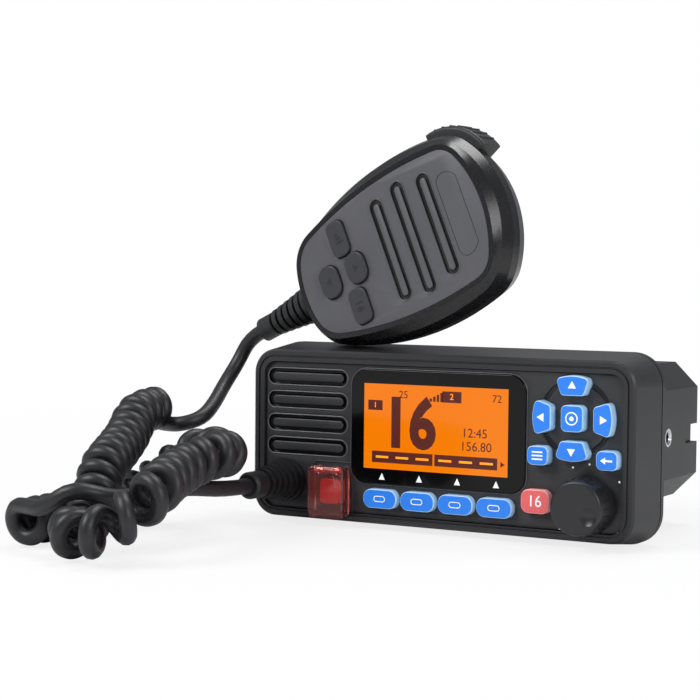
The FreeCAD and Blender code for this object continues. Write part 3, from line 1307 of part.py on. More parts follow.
def cords():
    """The coiled middle and the two straight ends, face to face."""
    radius = float(s.cord_thick) / 2
    frames, total = coil_frames()
    half_turns = int(frames[-1][4] / math.pi)
    if half_turns % 2 == 0:
        half_turns -= 1
    knots = [coil_point(frames, math.pi / 2 * i) for i in range(2 * half_turns + 1)]
    edges = []
    for (pa, ta), (pb, tb) in zip(knots, knots[1:]):
        edges += biarc(pa, ta, pb, tb)
    tight = min(edge.Curve.Radius for edge in edges if hasattr(edge.Curve, "Radius"))
    first, first_way = knots[0]
    last, last_way = knots[-1]
    coil_start = first - first_way * float(s.cord_thick)
    coil_end = last + last_way * float(s.cord_thick)
    edges.insert(0, Part.makeLine(coil_start, first))
    edges.append(Part.makeLine(last, coil_end))
    coil = sweep_round(edges, radius)
    length = sum(edge.Length for edge in edges)
    ratio = coil.Volume / (math.pi * radius ** 2 * length)
    print(f"curly_cord: {half_turns / 2} turns, axis {total:.0f}, length {length:.0f}, "
          f"tightest arc {tight:.2f}, volume over section times length {ratio:.4f}")
    print(f"curly_cord: least gap to itself {least_gap(edges):.2f}")
    keep(part_feature("curly_cord", coil))
    run_in = float(s.coil_run_in)
    lead = [RADIO_EXIT] + [FreeCAD.Vector(*p) for p in RADIO_LEAD]
    lead += [coil_start - first_way * run_in, coil_start]
    radio_lead = straight_cord(lead, radius, "radio_lead")
    keep(part_feature("radio_lead", radio_lead))
    back = MIC_PLACE.Rotation.multVec(FreeCAD.Vector(-1, 0, 0))
    lead = [coil_end, coil_end + last_way * run_in] + [FreeCAD.Vector(*p) for p in MIC_LEAD]
    lead += [MIC_EXIT + back * run_in, MIC_EXIT]
    mic_lead = straight_cord(lead, radius, "mic_lead")
    keep(part_feature("mic_lead", mic_lead))
    print("gap from coil to leads", [round(coil.distToShape(lead)[0], 4)
                                     for lead in (radio_lead, mic_lead)])
    print("coil starts", coil_start, "ends", coil_end, "microphone's boot", MIC_EXIT)


def least_gap(edges):
    """Least distance between stretches of the wire, less its thickness, on points."""
    thick = float(s.cord_thick)
    reach = 4.2 * float(s.coil_radius)
    points = []
    run = 0.0
    for edge in edges:
        for place in edge.discretize(6)[:-1]:
            if points:
                run += place.distanceToPoint(points[-1][0])
            points.append((place, run))
    cells = {}
    for item in points:
        cells.setdefault(cell_of(item[0], thick * 2), []).append(item)
    least = thick * 2
    for place, run in points:
        i, j, k = cell_of(place, thick * 2)
        around = [(i + a, j + b, k + c) for a in (-1, 0, 1) for b in (-1, 0, 1)
                  for c in (-1, 0, 1)]
        for cell in around:
            for other, far in cells.get(cell, ()):
                if far - run > reach:
                    least = min(least, place.distanceToPoint(other))
    return least - thick


def cell_of(place, size):
    return (math.floor(place.x / size), math.floor(place.y / size), math.floor(place.z / size))


def build():
    front_housing()
    housing_seal()
    for key in KEYS:
        panel_key(key)
    front_panel()
    display()
    boards()
    loudspeaker()
    knob()
    call_guard()
    cord_boot()
    chassis()
    rear_sockets()
    mic_shells()
    mic_parts()
    cords()
    DOC.recompute()


def check_and_write():
    for item in DOC.Objects:
        assert "Invalid" not in item.State and "Error" not in item.State, item.Label
    os.makedirs("parts", exist_ok=True)
    for piece in NODES:
        shape = piece.Shape
        assert not shape.isNull(), f"{piece.Label} is empty"
        assert shape.isValid(), f"{piece.Label} is not valid"
        assert shape.Solids, f"{piece.Label} holds no solid"
        assert abs(shape.Volume) > 0.5, f"{piece.Label} has no volume"
        shape.exportStep(f"parts/{piece.Label}.step")
    print(len(NODES), "pieces written")


build()
check_and_write()
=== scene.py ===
# %% [markdown]
# A marine radio for a boat's dashboard, with its hand microphone on a curly cord.
# The radio's solids come in as a packed model. This script gives them their finishes,
# draws the cord, prints the screen and the keys, and lights the scene.

# %% Load the packed model
import math
import bpy
from mathutils import Matrix, Vector


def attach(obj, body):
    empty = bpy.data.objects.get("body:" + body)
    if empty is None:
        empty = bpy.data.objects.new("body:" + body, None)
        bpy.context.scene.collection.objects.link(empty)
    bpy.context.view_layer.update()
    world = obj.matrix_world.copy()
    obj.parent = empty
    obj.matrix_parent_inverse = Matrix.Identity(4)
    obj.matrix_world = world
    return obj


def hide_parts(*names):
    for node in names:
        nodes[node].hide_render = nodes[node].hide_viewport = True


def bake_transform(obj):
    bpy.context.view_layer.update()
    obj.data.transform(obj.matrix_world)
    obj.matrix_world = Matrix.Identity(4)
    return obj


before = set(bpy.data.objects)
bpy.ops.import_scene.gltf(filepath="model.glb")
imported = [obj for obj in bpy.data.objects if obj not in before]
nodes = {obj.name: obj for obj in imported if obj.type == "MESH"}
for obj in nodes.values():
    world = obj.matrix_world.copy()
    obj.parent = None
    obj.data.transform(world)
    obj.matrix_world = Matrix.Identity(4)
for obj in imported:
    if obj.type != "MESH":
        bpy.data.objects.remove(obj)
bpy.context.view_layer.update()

MM = 0.001

# %% [markdown]
# The camera stands low and to the right of the radio, as in the photograph. Its three
# angles were worked out from the front's edges, so it's built from a viewing direction
# and a small roll.

# %% Camera
CAMERA_PLACE = (0.31471, -0.63497, 0.09960)
turn, tilt, roll = math.radians(29.81), math.radians(2.51), math.radians(0.58)
ahead = Vector((-math.sin(turn) * math.cos(tilt), math.cos(turn) * math.cos(tilt), -math.sin(tilt)))
level = ahead.cross(Vector((0, 0, 1))).normalized()
upright = level.cross(ahead)
across = level * math.cos(roll) + upright * math.sin(roll)
upward = upright * math.cos(roll) - level * math.sin(roll)
bpy.ops.object.select_all(action="DESELECT")
bpy.ops.object.camera_add()
camera = bpy.context.object
camera.matrix_world = Matrix(
    [(across[n], upward[n], -ahead[n], CAMERA_PLACE[n]) for n in range(3)] + [(0, 0, 0, 1)])
camera.data.lens = 94.685
camera.data.sensor_width = 36
bpy.context.scene.camera = camera
bpy.context.scene.view_settings.view_transform = "Standard"
print("camera looks along", [round(v, 3) for v in ahead])

# %% [markdown]
# The curly cord is a straight cord that was wound on a rod and set by heat. Its coil
# follows a smooth line: a NURBS curve with a few control points. Later the turns are
# laid round points read from that line.

# %% The line that the coil follows
COIL_LINE = [
    (-0.1062, -0.1320, 0.0094), (-0.1049, -0.1214, 0.0094), (-0.1079, -0.1023, 0.0097),
    (-0.1067, -0.0806, 0.0098), (-0.1050, -0.0610, 0.0141), (-0.0976, -0.0488, 0.0239),
    (-0.0834, -0.0491, 0.0318), (-0.0700, -0.0577, 0.0289), (-0.0607, -0.0718, 0.0321),
    (-0.0631, -0.0917, 0.0289), (-0.0561, -0.1146, 0.0260), (-0.0482, -0.1313, 0.0247),
    (-0.0497, -0.1428, 0.0182), (-0.0580, -0.1487, 0.0119), (-0.0694, -0.1481, 0.0095),
    (-0.0786, -0.1405, 0.0096), (-0.0810, -0.1273, 0.0095), (-0.0883, -0.1135, 0.0160),
    (-0.0951, -0.1002, 0.0268), (-0.1021, -0.0832, 0.0303), (-0.1083, -0.0659, 0.0361),
    (-0.1165, -0.0503, 0.0433), (-0.1182, -0.0332, 0.0434)]


def smooth_line(name, poles, fineness, thick=0.0):
    """A NURBS curve pulled by its poles."""
    curve = bpy.data.curves.new(name, "CURVE")
    curve.dimensions = "3D"
    spline = curve.splines.new("NURBS")
    spline.points.add(len(poles) - 1)
    for point, place in zip(spline.points, poles):
        point.co = (*place, 1.0)
    spline.order_u = 3
    spline.use_endpoint_u = True
    spline.resolution_u = fineness
    curve.resolution_u = fineness
    curve.bevel_depth = thick / 2
    curve.bevel_resolution = 4
    curve.use_fill_caps = thick > 0
    line = bpy.data.objects.new(name, curve)
    bpy.context.scene.collection.objects.link(line)
    return line


def made_mesh(line):
    """The mesh that a curve draws. The curve itself is taken away."""
    bpy.context.view_layer.update()
    shown = line.evaluated_get(bpy.context.evaluated_depsgraph_get())
    mesh = bpy.data.meshes.new_from_object(shown)
    bpy.data.objects.remove(line)
    return mesh


def points_of(line):
    """The points of a curve that has no thickness."""
    mesh = made_mesh(line)
    found = [vertex.co.copy() for vertex in mesh.vertices]
    bpy.data.meshes.remove(mesh)
    return found


line_points = points_of(smooth_line("coil_line", COIL_LINE, fineness=48))
steps = [b - a for a, b in zip(line_points, line_points[1:])]
line_length = sum(step.length for step in steps)
print("coil's line:", len(line_points), "points,", round(line_length, 4), "m")

# %% [markdown]
# A coil can't bend without its turns opening on the outside, so the distance from turn
# to turn, the pitch, grows where the line bends. The middle of this coil also hangs a
# little stretched.

# %% The distance from turn to turn
COIL_RADIUS = 0.0059
CLOSED_PITCH, OPEN_PITCH = 0.0069, 0.0105
HANGS_FROM, HANGS_TO = 0.33, 0.60   # shares of the line's length
HANGS_RAMP = 20                     # how quickly the pitch opens there
BEND_GAIN, TIGHTEST = 1.1, 0.55     # how much a bend opens the turns, and the limit to it


def pitch_at(share, bend):
    """The pitch at a share of the line's length, where the line bends this much."""
    slack = 0.0
    if HANGS_FROM < share < HANGS_TO:
        slack = min(1.0, HANGS_RAMP * min(share - HANGS_FROM, HANGS_TO - share))
    hanging = CLOSED_PITCH + (OPEN_PITCH - CLOSED_PITCH) * slack
    bent = CLOSED_PITCH / max(TIGHTEST, 1 - BEND_GAIN * COIL_RADIUS * bend)
    return max(hanging, bent)


print("pitch when straight:", pitch_at(0, 0), "and in the middle:", pitch_at(0.45, 0))

# %% [markdown]
# The angle of the wire at each point is the sum of the small turns up to it. Each point
# also carries two directions square to the line, which the wire goes round.

# %% How far the wire has turned at each point
TURNS = 41.5
NEAR = 28   # points to each side that a bend is averaged over
bends = [a.angle(b) / a.length for a, b in zip(steps, steps[1:])]
places, angle, run, side = [], 0.0, 0.0, Vector((0, 0, 1))
for i, centre in enumerate(line_points):
    step = steps[min(i, len(steps) - 1)]
    forward = step.normalized()
    side = (side - forward * side.dot(forward)).normalized()
    places.append((centre, side, forward.cross(side), angle))
    near = bends[max(0, i - NEAR):i + NEAR]
    pitch = pitch_at(run / line_length, sum(near) / len(near))
    angle += 2 * math.pi * step.length / pitch
    run += step.length
wound = places[-1][3]
stretch = 2 * math.pi * TURNS / wound
print("turns before rounding:", round(wound / 2 / math.pi, 2))

# %% [markdown]
# Sixteen points make each turn. Each is found between the two points of the line where
# the wire has turned just less and just more than it should.

# %% The coil's points
POINTS_PER_TURN = 16
helix, at = [], 0
for k in range(int(TURNS * POINTS_PER_TURN) + 1):
    target = 2 * math.pi * k / POINTS_PER_TURN
    while at < len(places) - 2 and places[at + 1][3] * stretch < target:
        at += 1
    a, b = places[at], places[at + 1]
    part = min(1.0, max(0.0, (target / stretch - a[3]) / (b[3] - a[3])))
    centre, side, over = (a[n].lerp(b[n], part) for n in range(3))
    helix.append(centre + side * (COIL_RADIUS * math.cos(target))
                 - over * (COIL_RADIUS * math.sin(target)))
print("coil:", len(helix), "points")

# %% [markdown]
# The coil's points and the two straight ends are the control points of one spline, so
# the cord is one smooth wire from the radio to the microphone.

# %% The cord's way from end to end
CORD_EXIT = (-0.0652, -0.04902, 0.0169)
RADIO_END = [
    CORD_EXIT, (-0.0652, -0.0646, 0.0169), (-0.0699, -0.0832, 0.0196),
    (-0.0726, -0.1042, 0.0190), (-0.0711, -0.1248, 0.0191), (-0.0810, -0.1351, 0.0238),
    (-0.0929, -0.1364, 0.0154), (-0.1005, -0.1339, 0.0154)]
MIC_END = [
    (-0.1123, -0.0364, 0.0374), (-0.1040, -0.0385, 0.0376), (-0.0980, -0.0320, 0.0400),
    (-0.0995, -0.0215, 0.0450), (-0.1028, -0.0096, 0.0517), (-0.1017, -0.0005, 0.0610),
    (-0.0972, 0.0011, 0.0709), (-0.08999, 0.00012, 0.07417)]
CORD_FINENESS = 4
LEAST_STEP = 0.0002
route = [Vector(p) for p in RADIO_END] + helix + [Vector(p) for p in MIC_END]
drawn = points_of(smooth_line("cord_route", route, CORD_FINENESS))
cord_points = drawn[:1] + [b for a, b in zip(drawn, drawn[1:]) if (b - a).length > LEAST_STEP]
cord_length = sum((b - a).length for a, b in zip(cord_points, cord_points[1:]))
print("cord:", round(cord_length, 3), "m")

# %% [markdown]
# The same spline with a thickness is the cord's jacket, and it takes the place of three
# solids.

# %% The cord
cord_mesh = made_mesh(smooth_line("cord_tube", route, CORD_FINENESS, thick=0.006))
cord = bpy.data.objects.new("cord", cord_mesh)
bpy.context.scene.collection.objects.link(cord)
for face in cord_mesh.polygons:
    face.use_smooth = True
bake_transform(cord)
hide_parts("radio_lead", "curly_cord", "mic_lead")
print("cord:", len(cord_mesh.polygons), "faces")

# %% [markdown]
# Every finish below is a principled shader fed by patterns. Shader maths reads like
# ordinary maths when a socket is wrapped in a class that knows plus, minus and times.

# %% Sums with sockets
class Value:
    """A socket that takes part in sums."""

    def __init__(self, tree, socket):
        self.tree, self.socket = tree, socket

    def sum(self, operation, first, second):
        return self.tree.node("Math", {"operation": operation}, {0: first, 1: second})

    def __add__(self, other):
        return self.sum("ADD", self, other)

    def __radd__(self, other):
        return self.sum("ADD", other, self)

    def __sub__(self, other):
        return self.sum("SUBTRACT", self, other)

    def __rsub__(self, other):
        return self.sum("SUBTRACT", other, self)

    def __mul__(self, other):
        return self.sum("MULTIPLY", self, other)

    def __rmul__(self, other):
        return self.sum("MULTIPLY", other, self)

    def __lt__(self, other):
        return self.sum("LESS_THAN", self, other)

    def __gt__(self, other):
        return self.sum("GREATER_THAN", self, other)

    def __abs__(self):
        return self.sum("ABSOLUTE", self, 0.0)


print("sums:", [name for name in vars(Value) if name.startswith("__")])

# %% [markdown]
# A finish and the world are both trees of nodes. One method makes every node: its type
# and settings come first, then what goes into it. A finish adds the patterns that the
# plastics share: where a point lies, a mix of two colours, a noise and a bump.

# %% Trees of nodes
class Tree:
    """Shader nodes, and the links between them."""

    def __init__(self, tree):
        self.tree = tree

    def node(self, kind, settings=None, inputs=None, output=0):
        made = self.tree.nodes.new("ShaderNode" + kind)
        for name, value in (settings or {}).items():
            setattr(made, name, value)
        for place, value in (inputs or {}).items():
            self.give(made.inputs[place], value)
        return Value(self, made.outputs[output])

    def give(self, socket, value):
        if isinstance(value, Value):
            self.tree.links.new(value.socket, socket)
        else:
            socket.default_value = value


class Finish(Tree):
    """A material with one principled shader."""

    def __init__(self, name, **plain):
        self.material = bpy.data.materials.new(name)
        self.material.use_nodes = True
        super().__init__(self.material.node_tree)
        self.shader = self.tree.nodes["Principled BSDF"]
        for socket, value in plain.items():
            self.feed(socket.replace("_", " "), value)

    def feed(self, socket, value):
        self.give(self.shader.inputs[socket], value)

    def where(self):
        return self.node("TexCoord", output="Object")

    def axes(self):
        split = self.node("SeparateXYZ", {}, {0: self.where()})
        return [Value(self, socket) for socket in split.socket.node.outputs]

    def between(self, factor, first, second):
        return self.node("Mix", {"data_type": "RGBA"}, {0: factor, 6: first, 7: second}, output=2)

    def noise(self, scale, detail=3.0):
        return self.node("TexNoise", {}, {"Vector": self.where(), "Scale": scale, "Detail": detail})

    def bump(self, height, strength, distance):
        self.feed("Normal", self.node("Bump", {}, {
            "Height": height, "Strength": strength, "Distance": distance}))


print("a finish can:", [name for name in vars(Finish) if not name.startswith("__")])

# %% [markdown]
# Colours are given as a picture editor shows them, from 0 to 255. A renderer counts
# light instead, so each is turned to light by the usual curve.

# %% Colours
def tone(red, green, blue):
    """A colour as a picture editor shows it, turned to light."""
    lit = [v / 255 for v in (red, green, blue)]
    return (*[v / 12.92 if v <= 0.04045 else ((v + 0.055) / 1.055) ** 2.4 for v in lit], 1.0)


def wear(colour, by):
    """A colour made darker or lighter."""
    return (*[min(1.0, v * by) for v in colour[:3]], 1.0)


print("white is", tone(255, 255, 255))

# %% [markdown]
# Nearly all of the radio is moulded plastic, whose mould was etched with a fine grain.
# The grain is a small noise that moves the surface in and out, and a broad, weak noise
# keeps large faces from looking like paint from a computer. A slot test on a point's
# place tells which points lie deep in a slot; they get a painted shade, near black, for
# the shadow in there.

# %% Helpers for plastic and metal
# Painted shade: the near-black colour given to points deep in a slot, for its shadow.
SLOT_PAINTED_SHADE = tone(9, 9, 10)


def grained(name, colour, rough, grain=2600.0, strength=0.35, spread=0.14, painted_shade_at=None):
    finish = Finish(name)
    fine = finish.noise(grain)
    broad = finish.noise(scale=45.0, detail=5.0)
    skin = finish.between(broad, wear(colour, 1 - spread), wear(colour, 1 + spread))
    # Painted shade: points deep in a slot take the near-black colour.
    if painted_shade_at:
        skin = finish.between(painted_shade_at(*finish.axes()), skin, SLOT_PAINTED_SHADE)
    finish.feed("Base Color", skin)
    finish.feed("Roughness", fine * 0.12 + broad * 0.08 + (rough - 0.1))
    finish.bump(fine, strength, distance=0.00012)
    return finish.material


def polished(name, colour, rough):
    finish = Finish(name, Metallic=1.0)
    streak = finish.noise(scale=1800.0, detail=2.0)
    finish.feed("Base Color", finish.between(streak, wear(colour, 0.9), wear(colour, 1.05)))
    finish.feed("Roughness", streak * 0.05 + rough)
    return finish.material


bright_steel = polished("turned_steel", tone(205, 206, 210), 0.2)
plated = polished("nickel_plating", tone(190, 188, 180), 0.26)
tin_plate = polished("tin_plate", tone(200, 202, 200), 0.32)
print("metals:", bright_steel.name, plated.name, tin_plate.name)

# %% [markdown]
# The microphone hangs turned, so its own directions are those of a matrix: across its
# face, into it, and up along it. The last column is its place in metres.

# %% The microphone's own directions
MIC = Matrix((
    (0.902957, 0.137955, -0.406985, -0.0139),
    (-0.121200, 0.990377, 0.066805, -0.0222),
    (0.412285, -0.010995, 0.910989, 0.1098),
    (0, 0, 0, 1)))
into_mic = MIC.col[1]
print("into the microphone:", [round(v, 3) for v in into_mic[:3]])

# %% [markdown]
# The slots of the loudspeaker and of the microphone end in the plate behind them. A
# point that lies further in than the slots' floor gets a painted shade, near black, for
# the shadow deep in the slot.

# %% Grained plastics and rubber
PANEL_FLOOR, MIC_FLOOR = -0.0203, -0.02472


def in_panel_slot(x, y, z):
    return y > PANEL_FLOOR


def in_mic_slot(x, y, z):
    return x * into_mic.x + y * into_mic.y + z * into_mic.z > MIC_FLOOR


front_plastic = grained("grained_front_plastic", tone(38, 38, 41), 0.42)
panel_plastic = grained("grained_panel_plastic", tone(44, 44, 47), 0.40, strength=0.5,
                        painted_shade_at=in_panel_slot)
cast_metal = grained("black_painted_casting", tone(24, 24, 26), 0.44, grain=1700.0, strength=0.45)
soft_rubber = grained("black_rubber", tone(24, 25, 27), 0.50, grain=3200.0, strength=0.2)
cord_rubber = grained("cord_jacket", tone(25, 25, 29), 0.44, grain=1500.0, strength=0.08)
knob_plastic = grained("knob_plastic", tone(30, 30, 32), 0.34, strength=0.3)
shell_gloss = grained("smooth_dark_shell", tone(17, 17, 19), 0.26, grain=900.0, strength=0.05)
face_grey = grained("grained_grey_face", tone(84, 84, 89), 0.38, strength=0.4,
                    painted_shade_at=in_mic_slot)
key_grey = grained("grey_key_rubber", tone(50, 50, 55), 0.44, strength=0.25)
board_green = grained("board_lacquer", tone(22, 84, 48), 0.35, strength=0.1)
paper_cone = grained("paper_cone", tone(40, 38, 36), 0.8, grain=1200.0)
distress_red = grained("red_button", tone(206, 14, 24), 0.32, strength=0.08, spread=0.06)
# A lighter grey that paints the highlight on rounded edges and lips.
painted_highlight_grey = grained("painted_highlight_edge", tone(88, 88, 93), 0.28, strength=0.1)
print("finishes so far:", len(bpy.data.materials))

# %% [markdown]
# The blue keys are clear silicone with ink on the face alone, so their sides look pale,
# and each whole key has a faint painted glow of its own colour.
# One test on the depth of a point tells the inked face from the bare side. The front
# of the radio looks along minus Y, so a point nearer to the viewer has a lower Y.

# %% Inked keys
INK_DEPTH = 0.00008


def inked(name, front, ink, bare):
    # Painted glow: the key gives off a little light in its own colour.
    finish = Finish(name, Coat_Weight=0.15, Coat_Roughness=0.25, Emission_Strength=0.12)
    depth = finish.axes()[1]
    fine = finish.noise(2600.0)
    colour = finish.between(depth < front + INK_DEPTH, bare, ink)
    finish.feed("Base Color", colour)
    finish.feed("Emission Color", colour)
    finish.feed("Roughness", fine * 0.1 + 0.34)
    finish.bump(fine, strength=0.12, distance=0.0001)
    return finish.material


BLUE, PALE = tone(30, 124, 232), tone(176, 214, 246)
soft_key_blue = inked("blue_soft_keys", -0.0236, BLUE, PALE)
pad_key_blue = inked("blue_pad_keys", -0.0248, BLUE, PALE)
channel_red = inked("salmon_channel_key", -0.0236, tone(226, 96, 98), tone(244, 176, 172))
print("inked keys:", soft_key_blue.name, pad_key_blue.name, channel_red.name)

# %% [markdown]
# The window has a black edge. Behind it the screen is lit by a lamp, so that part gives
# off orange light, a little uneven. Three tests on a point's place say if it's in there.

# %% Lamp-lit screen
SCREEN_X, SCREEN_Z = 0.0002, 0.03995
HALF_WIDE, HALF_HIGH = 0.0303, 0.01625
WINDOW_FRONT = -0.0214


def screen_finish():
    """Black edge of the window, and the lamp's orange where the screen is."""
    finish = Finish("window_and_screen", Roughness=0.14, Specular_IOR_Level=0.16,
                    Coat_Weight=0.12, Coat_Roughness=0.04, Emission_Strength=0.92)
    x, y, z = finish.axes()
    inside = (abs(x - SCREEN_X) < HALF_WIDE) * (abs(z - SCREEN_Z) < HALF_HIGH) * (y < WINDOW_FRONT)
    patch = finish.noise(scale=14.0, detail=1.0)
    amber = finish.between(patch, tone(255, 122, 0), tone(255, 140, 6))
    finish.feed("Base Color", finish.between(inside, tone(5, 5, 6), tone(40, 14, 0)))
    finish.feed("Emission Color", finish.between(inside, (0, 0, 0, 1), amber))
    return finish.material


window_finish = screen_finish()
print("screen:", window_finish.name)

# %% [markdown]
# The safety cover is clear red plastic that lets nearly all light through. The inks
# are thin printed layers. The orange one on the lit screen gives off its light; the white
# one, on keys, panel and the window's black edge, has a faint painted glow.

# %% Clear cover and inks
def red_clear():
    """Clear red plastic of the safety cover."""
    finish = Finish("clear_red_cover", Transmission_Weight=0.96, IOR=1.47)
    cloud = finish.noise(300.0)
    finish.feed("Base Color", finish.between(cloud, tone(250, 158, 154), tone(255, 176, 172)))
    finish.feed("Roughness", cloud * 0.05 + 0.03)
    return finish.material


def ink_finish(name, colour, glow=0.0):
    """A thin layer of printed ink, a little uneven."""
    finish = Finish(name, Emission_Strength=glow, Emission_Color=colour)
    patch = finish.noise(900.0)
    finish.feed("Base Color", finish.between(patch, wear(colour, 0.93), colour))
    finish.feed("Roughness", patch * 0.1 + 0.35)
    return finish.material


cover_clear = red_clear()
# Painted glow: the white marks give off a little light of their own.
white_ink_painted_glow = ink_finish("white_ink_painted_glow", tone(240, 244, 248), 0.25)
dark_ink = ink_finish("dark_red_segments", tone(92, 24, 8))
amber_ink = ink_finish("amber_gap", tone(255, 138, 14), 0.9)
mic_ink = ink_finish("grey_key_mark", tone(34, 35, 40))
print("finishes so far:", len(bpy.data.materials))

# %% [markdown]
# Each solid of the packed model gets the finish of the real piece. Pieces inside that
# nobody sees, such as the boards, get a plain but true one too.

# %% Finishes on the solids
def dress(finish, *names):
    for name in names:
        piece = nodes[name]
        if not piece.material_slots:
            piece.data.materials.append(finish)
        for place in piece.material_slots:
            place.material = finish


dress(cast_metal, "chassis")
dress(front_plastic, "front_housing")
dress(panel_plastic, "front_panel")
dress(soft_rubber, "housing_seal", "cord_boot", "mic_boot", "ptt_button", "keypad_mat",
      "cord_gland", "power_gland")
dress(window_finish, "display_lens")
dress(amber_ink, "lcd_module", "backlight")
dress(board_green, "front_board", "radio_board", "mic_board", "distress_switch", "ptt_switch")
dress(tin_plate, "shield_can", "rotary_encoder", "mic_capsule", "speaker_frame")
dress(paper_cone, "speaker_cone")
dress(bright_steel, "side_inserts", "cover_pin", "cover_spring", "socket_screws",
      "mic_screws", "knob_shaft", "speaker_magnet")
dress(plated, "antenna_socket", "hanger_stud")
dress(cover_clear, "distress_cover")
dress(distress_red, "distress_button")
dress(soft_key_blue, "soft_key_1", "soft_key_2", "soft_key_3", "soft_key_4")
dress(channel_red, "channel_key")
dress(pad_key_blue, "enter_key", "menu_key", "back_key", "up_key", "right_key", "down_key",
      "left_key")
dress(knob_plastic, "channel_knob")
dress(shell_gloss, "mic_front_shell", "mic_rear_shell")
dress(face_grey, "mic_face_plate")
dress(key_grey, "mic_up_key", "mic_down_key", "mic_level_key", "mic_channel_key")
cord.data.materials.clear()
cord.data.materials.append(cord_rubber)
print("dressed:", sum(1 for n in nodes.values() if n.material_slots), "of", len(nodes))

# %% [markdown]
# No moulded edge is sharp: plastic flows into a mould's corner and leaves a small
# radius, and it's this radius that catches the light. The panel and the
# microphone's plate are copied, their loose triangles are joined again, and a bevel of
# a fraction of a millimetre goes on each sharp edge.

# %% Soft edges on two mouldings
SAME_POINT = 0.000004                # metres
FLAT_ANGLE = math.radians(1.0)       # faces that differ less are one face
SHARP_ANGLE = math.radians(38.0)     # edges that bend more are rounded
SMOOTH_ANGLE = math.radians(35)      # edges that bend less are shaded as one surface


def soft_edged(name, width, finish, body):
    bpy.ops.object.select_all(action="DESELECT")
    piece = bpy.data.objects.new(name + "_moulding", nodes[name].data.copy())
    bpy.context.scene.collection.objects.link(piece)
    bpy.context.view_layer.objects.active = piece
    piece.select_set(True)
    bpy.ops.object.mode_set(mode="EDIT")
    bpy.ops.mesh.select_all(action="SELECT")
    bpy.ops.mesh.remove_doubles(threshold=SAME_POINT)
    bpy.ops.mesh.dissolve_limited(angle_limit=FLAT_ANGLE)
    bpy.ops.object.mode_set(mode="OBJECT")
    rounder = piece.modifiers.new("edge", "BEVEL")
    rounder.limit_method = "ANGLE"
    rounder.angle_limit = SHARP_ANGLE
    rounder.width = width * MM
    rounder.segments = 2
    rounder.use_clamp_overlap = False
    bpy.ops.object.modifier_apply(modifier="edge")
    bpy.ops.object.shade_smooth_by_angle(angle=SMOOTH_ANGLE)
    piece.data.materials.clear()
    piece.data.materials.append(finish)
    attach(piece, body)
    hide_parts(name)
    print(name, "soft-edged:", len(piece.data.polygons), "faces")


soft_edged("front_panel", 0.35, panel_plastic, "radio")
soft_edged("mic_face_plate", 0.25, face_grey, "microphone")

# %% [markdown]
# Ink prints and moulded lines are thin shapes that stand a hair in front of their
# surface. They're drawn flat on the ground and then stood up to face the front of the
# radio or of the microphone. From here on, sizes and places are in millimetres.

# %% Standing a drawing up
FRONT = Matrix(((1, 0, 0, 0), (0, 0, -1, 0), (0, 1, 0, 0), (0, 0, 0, 1)))


def at_front(x, z, front):
    """Stands a flat drawing up at a place on the front."""
    return Matrix.Translation((x * MM, front * MM, z * MM)) @ FRONT


def on_mic(x, z, front):
    """The same on the microphone, in its own directions."""
    return MIC @ at_front(x, z, front)


def finish_piece(piece, name, stand, body, finish):
    """Stands a drawing up, gives it a finish and ties it to a moving body."""
    piece.name = name
    piece.data.transform(stand @ piece.matrix_world)
    piece.matrix_world = Matrix.Identity(4)
    piece.data.materials.clear()
    piece.data.materials.append(finish)
    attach(piece, body)


print("a point of the front:", [round(v, 4) for v in at_front(10, 20, -21).translation])

# %% [markdown]
# Triangles, dots and bars all start as a circle of a few sides, which is stretched and
# then extruded a hair. Several of them can be joined into one piece.

# %% Flat shapes
def flat(sides, wide, high, x=0.0, y=0.0, turned=0.0, thick=0.05):
    """A flat shape of a few sides, turned by so many degrees and extruded a hair."""
    bpy.ops.object.select_all(action="DESELECT")
    reach = 0.5 / math.cos(math.pi / sides) if sides == 4 else 0.5
    bpy.ops.mesh.primitive_circle_add(vertices=sides, radius=reach, fill_type="NGON",
                                      rotation=(0, 0, math.radians(turned)))
    bpy.ops.object.transform_apply(location=False, rotation=True, scale=False)
    bpy.ops.object.mode_set(mode="EDIT")
    bpy.ops.mesh.select_all(action="SELECT")
    bpy.ops.transform.resize(value=(wide * MM, high * MM, 1), center_override=(0, 0, 0))
    bpy.ops.mesh.extrude_region_move(TRANSFORM_OT_translate={"value": (0, 0, thick * MM)})
    bpy.ops.mesh.select_all(action="SELECT")
    bpy.ops.transform.translate(value=(x * MM, y * MM, 0))
    bpy.ops.mesh.normals_make_consistent(inside=False)
    bpy.ops.object.mode_set(mode="OBJECT")
    return bpy.context.object


def bar(wide, high, x=0.0, y=0.0, thick=0.05):
    """A plain rectangle: four sides, turned so that they lie along x and y."""
    return flat(4, wide, high, x=x, y=y, turned=45, thick=thick)


def joined(parts):
    bpy.ops.object.select_all(action="DESELECT")
    for part in parts:
        part.select_set(True)
    bpy.context.view_layer.objects.active = parts[0]
    if len(parts) > 1:
        bpy.ops.object.join()
    return bpy.context.object


print("shapes: flat, bar and joined are ready")

# %% [markdown]
# Numbers come from the text tool and are then made a mesh. An outline is a circle whose
# four quarters are moved apart, which makes a rounded rectangle, and it's drawn with a
# round bar.

# %% Numbers and outlines
def number(words, size, x=0.0, y=0.0, narrow=1.0, thick=0.05, bold=0.0):
    """A number drawn with the text tool and made a mesh."""
    bpy.ops.object.select_all(action="DESELECT")
    bpy.ops.object.text_add()
    text = bpy.context.object
    text.data.body = words
    text.data.size = size * MM
    text.data.align_x, text.data.align_y = "CENTER", "CENTER"
    text.data.extrude = thick * MM / 2
    text.data.offset = bold * MM
    text.data.resolution_u = 4
    bpy.ops.object.convert(target="MESH")
    text = bpy.context.object
    moved = Matrix.Translation((x * MM, y * MM, thick * MM / 2))
    text.data.transform(moved @ Matrix.Diagonal((narrow, 1, 1, 1)))
    return text


